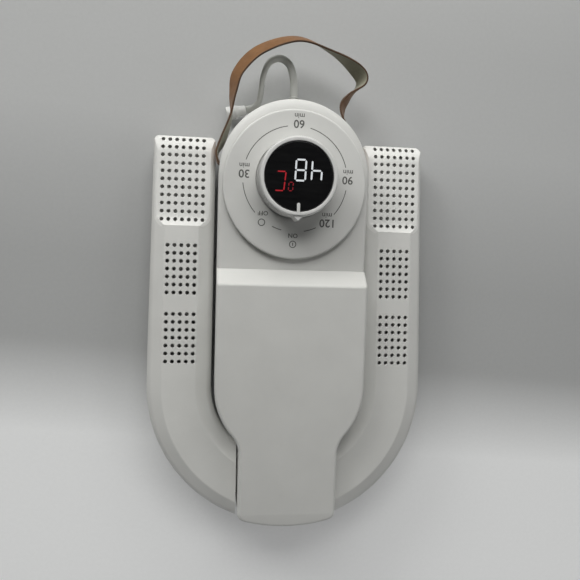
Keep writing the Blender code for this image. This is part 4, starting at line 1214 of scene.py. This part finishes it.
def plate_slab(sign, proud, sink, extra):
    """The zone between two offsets of the tip's front line, from the ramp's top to the nose."""
    places = [(point, way) for point, way, tilt in TIP_FRAMES[1:] if tilt <= PLATE_LAST_TILT]
    first, way = places[0]
    places[0] = (first + Vector((0, way.z, -way.y)) * (0.08 - extra), way)
    last, way = places[-1]
    places.append((last + Vector((0, way.z, -way.y)) * (0.1 + extra), way))
    outer = [point + way * proud for point, way in places]
    inner = [point - way * sink for point, way in places]
    return prism(sign, [(spot.y, spot.z) for spot in outer + inner[::-1]])


def grille_plate(sign):
    """The plate: a thin slice of the arm's own shape behind the tip's front line."""
    whole = loft([arm_section(station, 0, sign) for station in arm_stations(0)])
    return carve(whole, plate_slab(sign, 0, PLATE_THICK, 0), operation="INTERSECT")


def grille_window(sign):
    """The opening in the arm's wall behind the plate."""
    middle = sign * ARM_CENTRE_R
    low = (middle - WINDOW_HALF, RAMP_Y + 2, NOSE_LOW_Z + 1.5)
    return box(low, (middle + WINDOW_HALF, TIP_END_Y - 1.3, 40))


def hole_tool(point, normal):
    """A round cutter along a surface normal, flared where it meets the surface."""
    flare, top = HOLE_R + HOLE_CHAMFER, 0.35
    profile = [(0, top), (flare + top, top), (HOLE_R, -HOLE_CHAMFER)]
    profile += [(HOLE_R, -HOLE_DEPTH), (0, -HOLE_DEPTH)]
    return pointed(lathe(profile, 16), point, normal)


def grille_holes(sign):
    """Upright round holes, eased where they meet the face that is nearly level."""
    tools = []
    for row in range(11):
        y = GRILLE_ROW_Y + row * GRILLE_PITCH_Y
        z, tilt = line_frame(y)
        for column in range(-3, 4):
            x = sign * ARM_CENTRE_R + column * HOLE_PITCH_X
            if tilt < math.radians(10):
                tools.append(hole_tool(Vector((x, y, z)), Vector((0, 0, 1))))
            else:
                tools.append(rod((x, y, z - 7), (x, y, z + 3), HOLE_R, 20))
    return merge(*tools)


def vent_holes(sign):
    """Two fields of five by seven holes through the arm's front strip."""
    tools = []
    for first in VENT_ROWS_Y:
        for row in range(7):
            y = first + row * HOLE_PITCH_Y
            for column in range(-2, 3):
                x = sign * ARM_CENTRE_R + column * HOLE_PITCH_X
                tools.append(hole_tool(Vector((x, y, arm_front(y))), normal_at(ARM_TILT)))
    return merge(*tools)


def inner_end(reach):
    """A block that takes away the arm's inner end, up to a distance from the middle."""
    return box((-reach, -240, -10), (reach, -150, 60))


def arm_half(sign, away):
    """One half of an arm: the outer body less its inner end, its inside and the other half."""
    inside = carve(arm_body(WALL, WALL + LEDGE, sign), inner_end(ARM_INNER_X + WALL))
    bore_ends = [(sign * (ARM_INNER_X + along), HINGE_Y, HINGE_Z) for along in (-4, 4)]
    bore = rod(*bore_ends, ARM_BORE_R)
    return carve(arm_body(0, 0, sign), inner_end(ARM_INNER_X), inside, bore, away)


def make_arm(side):
    sign = SIDES[side]
    body = f"{side}_arm"
    front = arm_half(sign, seam_block(sign, False))
    seat = plate_slab(sign, 4, PLATE_THICK + SPLIT, SPLIT)
    front = carve(front, seat, grille_window(sign), vent_holes(sign))
    finish(f"{body}_front_fine", front, WHITE, body, f"{body}_front_shell")

    recesses = []
    for number in (1, 2):
        low, high = local(f"{body}_screw_{number}")
        place = (low + high) / 2
        recesses.append(rod((*place.xy, 0), (*place.xy, ARM_BACK_Z + 1.1), 3.2, 32))
    back = carve(arm_half(sign, seam_block(sign, True)), *recesses)
    finish(f"{body}_back_fine", back, WHITE, body, f"{body}_back_shell")

    plate = carve(grille_plate(sign), grille_holes(sign))
    finish(f"{side}_grille_fine", plate, PALE, body, f"{side}_tip_grille")
    for number in (1, 2):
        make_screw(f"{body}_screw_{number}", body)


# ---- strap and cord


def smooth_path(points, steps):
    """A Catmull-Rom curve through tuples of any length."""
    points = [Vector(p) for p in points]
    ends = [points[0] * 2 - points[1], *points, points[-1] * 2 - points[-2]]
    path = []
    for a, b, c, d in zip(ends, ends[1:], ends[2:], ends[3:]):
        for i in range(steps):
            t = i / steps
            curve = (a * 2 - b * 5 + c * 4 - d) * t * t + (b * 3 - a - c * 3 + d) * t ** 3
            path.append((b * 2 + (c - a) * t + curve) / 2)
    return path + [points[-1]]


# Middle line of the strap and its lean: 0 is edge-on from the front, + shows its outer face.
STRAP_LINE = (
    (-37.5, 9.6, 24.0, 0),
    (-43.0, 9.6, 24.0, 0),
    (-46.6, 10.2, 24.0, 0),
    (-48.1, 13.0, 24.0, 0),
    (-48.1, 17.5, 24.0, -6),
    (-44.6, 25.6, 24.0, -14),
    (-40.0, 40.0, 24.0, -4),
    (-38.8, 55.0, 25.0, 18),
    (-35.6, 68.6, 26.0, 34),
    (-22.0, 82.4, 27.0, 38),
    (2.0, 90.4, 27.0, 28),
    (25.0, 83.4, 26.0, 8),
    (41.0, 73.4, 25.0, -24),
    (44.6, 66.0, 24.0, -20),
    (36.6, 56.6, 24.0, 14),
    (32.4, 49.4, 24.0, 24),
    (34.6, 38.8, 24.0, 8),
    (44.7, 23.2, 24.0, 0),
    (48.1, 13.0, 24.0, 0),
    (46.6, 10.2, 24.0, 0),
    (43.0, 9.6, 24.0, 0),
    (37.5, 9.6, 24.0, 0),
)


def strap_outline():
    """The band's section as (across, outwards): crowned faces and rounded edges."""
    half, thick = STRAP_WIDTH / 2, STRAP_THICK / 2
    corners = [(-half, -thick, 0.45), (half, -thick, 0.45), (half, thick, 0.45), (-half, thick, 0.45)]
    rounded = fillet(corners, 4)
    inner = [(half * k / 4, -thick - 0.08 * (1 - (k / 4) ** 2)) for k in (-2, 0, 2)]
    outer = [(x, -y) for x, y in reversed(inner)]
    quarter = len(rounded) // 4
    return rounded[:quarter] + inner + rounded[quarter:3 * quarter] + outer + rounded[3 * quarter:]


def along_path(path):
    """(spot, forward direction, turn in radians) at each (x, y, z, degrees) point."""
    spots = [Vector(p[:3]) for p in path]
    stations = []
    for i, spot in enumerate(spots):
        forward = (spots[min(i + 1, len(spots) - 1)] - spots[max(i - 1, 0)]).normalized()
        stations.append((spot, forward, math.radians(path[i][3])))
    return stations


def make_strap():
    """The leather band along its line, with a tan face, a fibrous back and dyed edges."""
    outline = strap_outline()
    bm = bmesh.new()
    rings = []
    for spot, forward, lean in along_path(smooth_path(STRAP_LINE, 9)):
        outward = forward.cross(Vector((0, 0, -1))).normalized()
        width = Vector((0, 0, 1)) * math.cos(lean) - outward * math.sin(lean)
        thick = width.cross(forward).normalized()
        if thick.dot(outward) < 0:
            thick = -thick
        rings.append(add_ring(bm, [spot + width * w + thick * t for w, t in outline]))
    count, flat = len(outline), STRAP_THICK * 0.9
    for first, second in zip(rings, rings[1:]):
        for k in range(count):
            j = (k + 1) % count
            face = bm.faces.new((first[k], first[j], second[j], second[k]))
            level = outline[k][1] + outline[j][1]
            face.material_index = 0 if level > flat else 1 if level < -flat else 2
    for ring in (rings[0], rings[-1]):
        bm.faces.new(ring).material_index = 2
    skins = (BROWN, LEATHER_BACK, BROWN_EDGE)
    finish("strap_leather", bm, skins, "housing", "strap", sharp=60)


CORD_LINE = (
    (1.4, 57.0, 14.0),
    (0.8, 67.5, 15.5),
    (-2.2, 76.8, 16.0),
    (-8.6, 80.6, 16.0),
    (-15.6, 77.6, 15.5),
    (-19.2, 69.0, 15.0),
    (-20.2, 59.6, 12.0),
    (-21.4, 53.4, 8.6),
    (-24.6, 49.8, 7.0),
    (-29.4, 48.4, 6.8),
)
CORD_TURN = (0, 0, 20, 45, 62, 72, 70, 60, 40, 20)
BOOT_START = Vector((1.4, 49.8, 14))


def softened(value):
    """A sine or cosine pushed outwards, for a cord that is nearly flat."""
    return math.copysign(abs(value) ** 0.8, value)


def make_cord():
    """The visible loop of flat cord, its boot on the body's end and the moulded sleeve beside it."""
    path = smooth_path([(*spot, turn) for spot, turn in zip(CORD_LINE, CORD_TURN)], 10)
    angles = [math.tau * k / 20 for k in range(20)]
    sections = []
    for spot, forward, turn in along_path(path):
        across = forward.cross(Vector((0, 0, 1))).normalized()
        over = across.cross(forward).normalized()
        wide = (across * math.cos(turn) + over * math.sin(turn)) * CORD_WIDE / 2
        flat = (over * math.cos(turn) - across * math.sin(turn)) * CORD_FLAT / 2
        rounds = [(softened(math.cos(a)), softened(math.sin(a))) for a in angles]
        sections.append([spot + wide * w + flat * t for w, t in rounds])
    cord = loft(sections)
    finish("cord_fine", cord, CORD_SKIN, "housing", "power_cord", sharp=60, even=False)

    profile = [(0, 0), (4.4, 0)]
    for i in range(4):
        base, radius = 1.0 + 1.45 * i, 4.3 - 0.3 * i
        profile += [(radius, base), (radius - 0.55, base + 0.2)]
        profile += [(radius - 0.55, base + 0.55), (radius - 0.1, base + 0.8)]
    profile += [(3.1, 6.6), (2.7, 6.8), (0, 6.8)]
    boot = pointed(lathe(profile, 40), BOOT_START, Vector(CORD_LINE[0]) - BOOT_START)
    finish("cord_boot_fine", boot, CORD_SKIN, "housing", "cord_boot", sharp=40)

    last, before = Vector(path[-1][:3]), Vector(path[-2][:3])
    along = (last - before).normalized()
    profile = [(0, 0), (2.7, 0), (3.1, 0.4), (3.25, 2.4), (3.5, 4.4), (4.0, 5.7), (4.3, 6.2), (4.4, 6.9)]
    profile += [(4.4, 7.6), (4.15, 7.8), (4.15, 8.3), (4.4, 8.5), (4.4, 12.4), (4.25, 12.8), (3.9, 13.0)]
    profile += [(3.0, 13.0), (2.8, 12.6), (0, 12.4)]
    sleeve = pointed(lathe(profile, 48), last + along * 0.4, along)
    finish("cord_sleeve_fine", sleeve, SLEEVE, "housing", "cord_sleeve", sharp=40)


# ---- carried-over nodes

DRESS = (
    (NYLON, ("knob_rotor", "left_trunnion", "right_trunnion", "left_hinge_bush", "right_hinge_bush")),
    (DARK, ("display_pedestal", "display_module", "impeller")),
    (STEEL, ("fan_shaft", "fan_motor", "thermal_cutout", "left_strap_rivet", "right_strap_rivet")),
    (BOARD, ("control_board", "power_board")),
    (GREY, ("blower_housing", "heater_frame", "air_duct")),
    (CERAMIC, ("heater_core",)),
)


def dress_nodes():
    """The inner pieces keep their CAD shape and get a material."""
    for skin, nodes in DRESS:
        for node in nodes:
            mesh = frame["nodes"][node].data
            mesh.materials.clear()
            mesh.materials.append(skin)


# ---- stage


LAMPS = (
    ("high_window", (-0.1, 1.2, 1.4), (1.5, 0.5), 11.1, (1.0, 1.0, 0.98)),
    ("left_window", (-0.95, 1.2, 0.7), (0.6, 0.6), 6.7, (1.0, 1.0, 0.98)),
    ("low_strip", (-0.05, 0.62, 0.3), (0.9, 0.3), 2.8, (1.0, 0.995, 0.97)),
    ("right_fill", (1.2, 0.0, 0.9), (0.8, 0.8), 2.4, (1.0, 1.0, 1.0)),
    ("low_fill", (0.0, -0.8, 0.2), (1.2, 0.25), 1.1, (1.0, 1.0, 1.0)),
)
LAMP_AIM = Vector((0, DIAL_Y * MM - 0.06, 0.03))
ROOM_COLOUR = (0.97, 1.0, 0.99, 1)
ROOM_STRENGTH = 0.025
FLOOR_REACH = 1.6

CAMERA_LENS = 39.1
CAMERA_PLACE = (-0.0513, DIAL_Y * MM - 0.040, 0.4356)
CAMERA_RIGHT = Vector((0.9917, 0.0302, 0.1251))
CAMERA_UP = Vector((-0.0208, 0.9969, -0.0761))
CAMERA_BACK = Vector((-0.127, 0.0729, 0.9892))


def make_floor():
    floor = bpy.data.meshes.new("floor")
    corners = [(x * FLOOR_REACH, y * FLOOR_REACH, 0) for x, y in ((-1, -1), (1, -1), (1, 1), (-1, 1))]
    floor.from_pydata(corners, [], [(0, 1, 2, 3)])
    floor.materials.append(floor_paper())
    link("floor", floor)


def make_lamps():
    """Soft windows beyond the strap's end and a dim room."""
    for name, place, size, power, tint in LAMPS:
        lamp = bpy.data.lights.new(name, "AREA")
        lamp.shape = "RECTANGLE"
        lamp.size, lamp.size_y = size
        lamp.energy = power
        lamp.color = tint
        light = link(name, lamp)
        light.location = place
        light.rotation_euler = (LAMP_AIM - Vector(place)).to_track_quat("-Z", "Y").to_euler()
    world = bpy.data.worlds.new("room")
    world.use_nodes = True
    background = world.node_tree.nodes["Background"]
    background.inputs["Color"].default_value = ROOM_COLOUR
    background.inputs["Strength"].default_value = ROOM_STRENGTH
    bpy.context.scene.world = world
    bpy.context.scene.view_settings.view_transform = "Standard"


def make_camera():
    lens = bpy.data.cameras.new("camera")
    lens.sensor_width = 36
    lens.lens = CAMERA_LENS
    camera = link("camera", lens)
    turn = Matrix((CAMERA_RIGHT, CAMERA_UP, CAMERA_BACK)).transposed()
    camera.matrix_world = Matrix.Translation(CAMERA_PLACE) @ turn.to_4x4()
    bpy.context.scene.camera = camera


def build():
    make_front_shell()
    make_heater_cover()
    make_back_cover()
    make_intake_grille()
    make_feet()
    for i in range(1, 7):
        make_screw(f"body_screw_{i}", "housing")
    make_dial_panel()
    make_knob()
    make_lens()
    make_numerals()
    make_printing()
    for side in SIDES:
        make_arm(side)
    make_strap()
    make_cord()
    dress_nodes()
    make_floor()
    make_lamps()
    make_camera()


build()

bpy.context.view_layer.update()
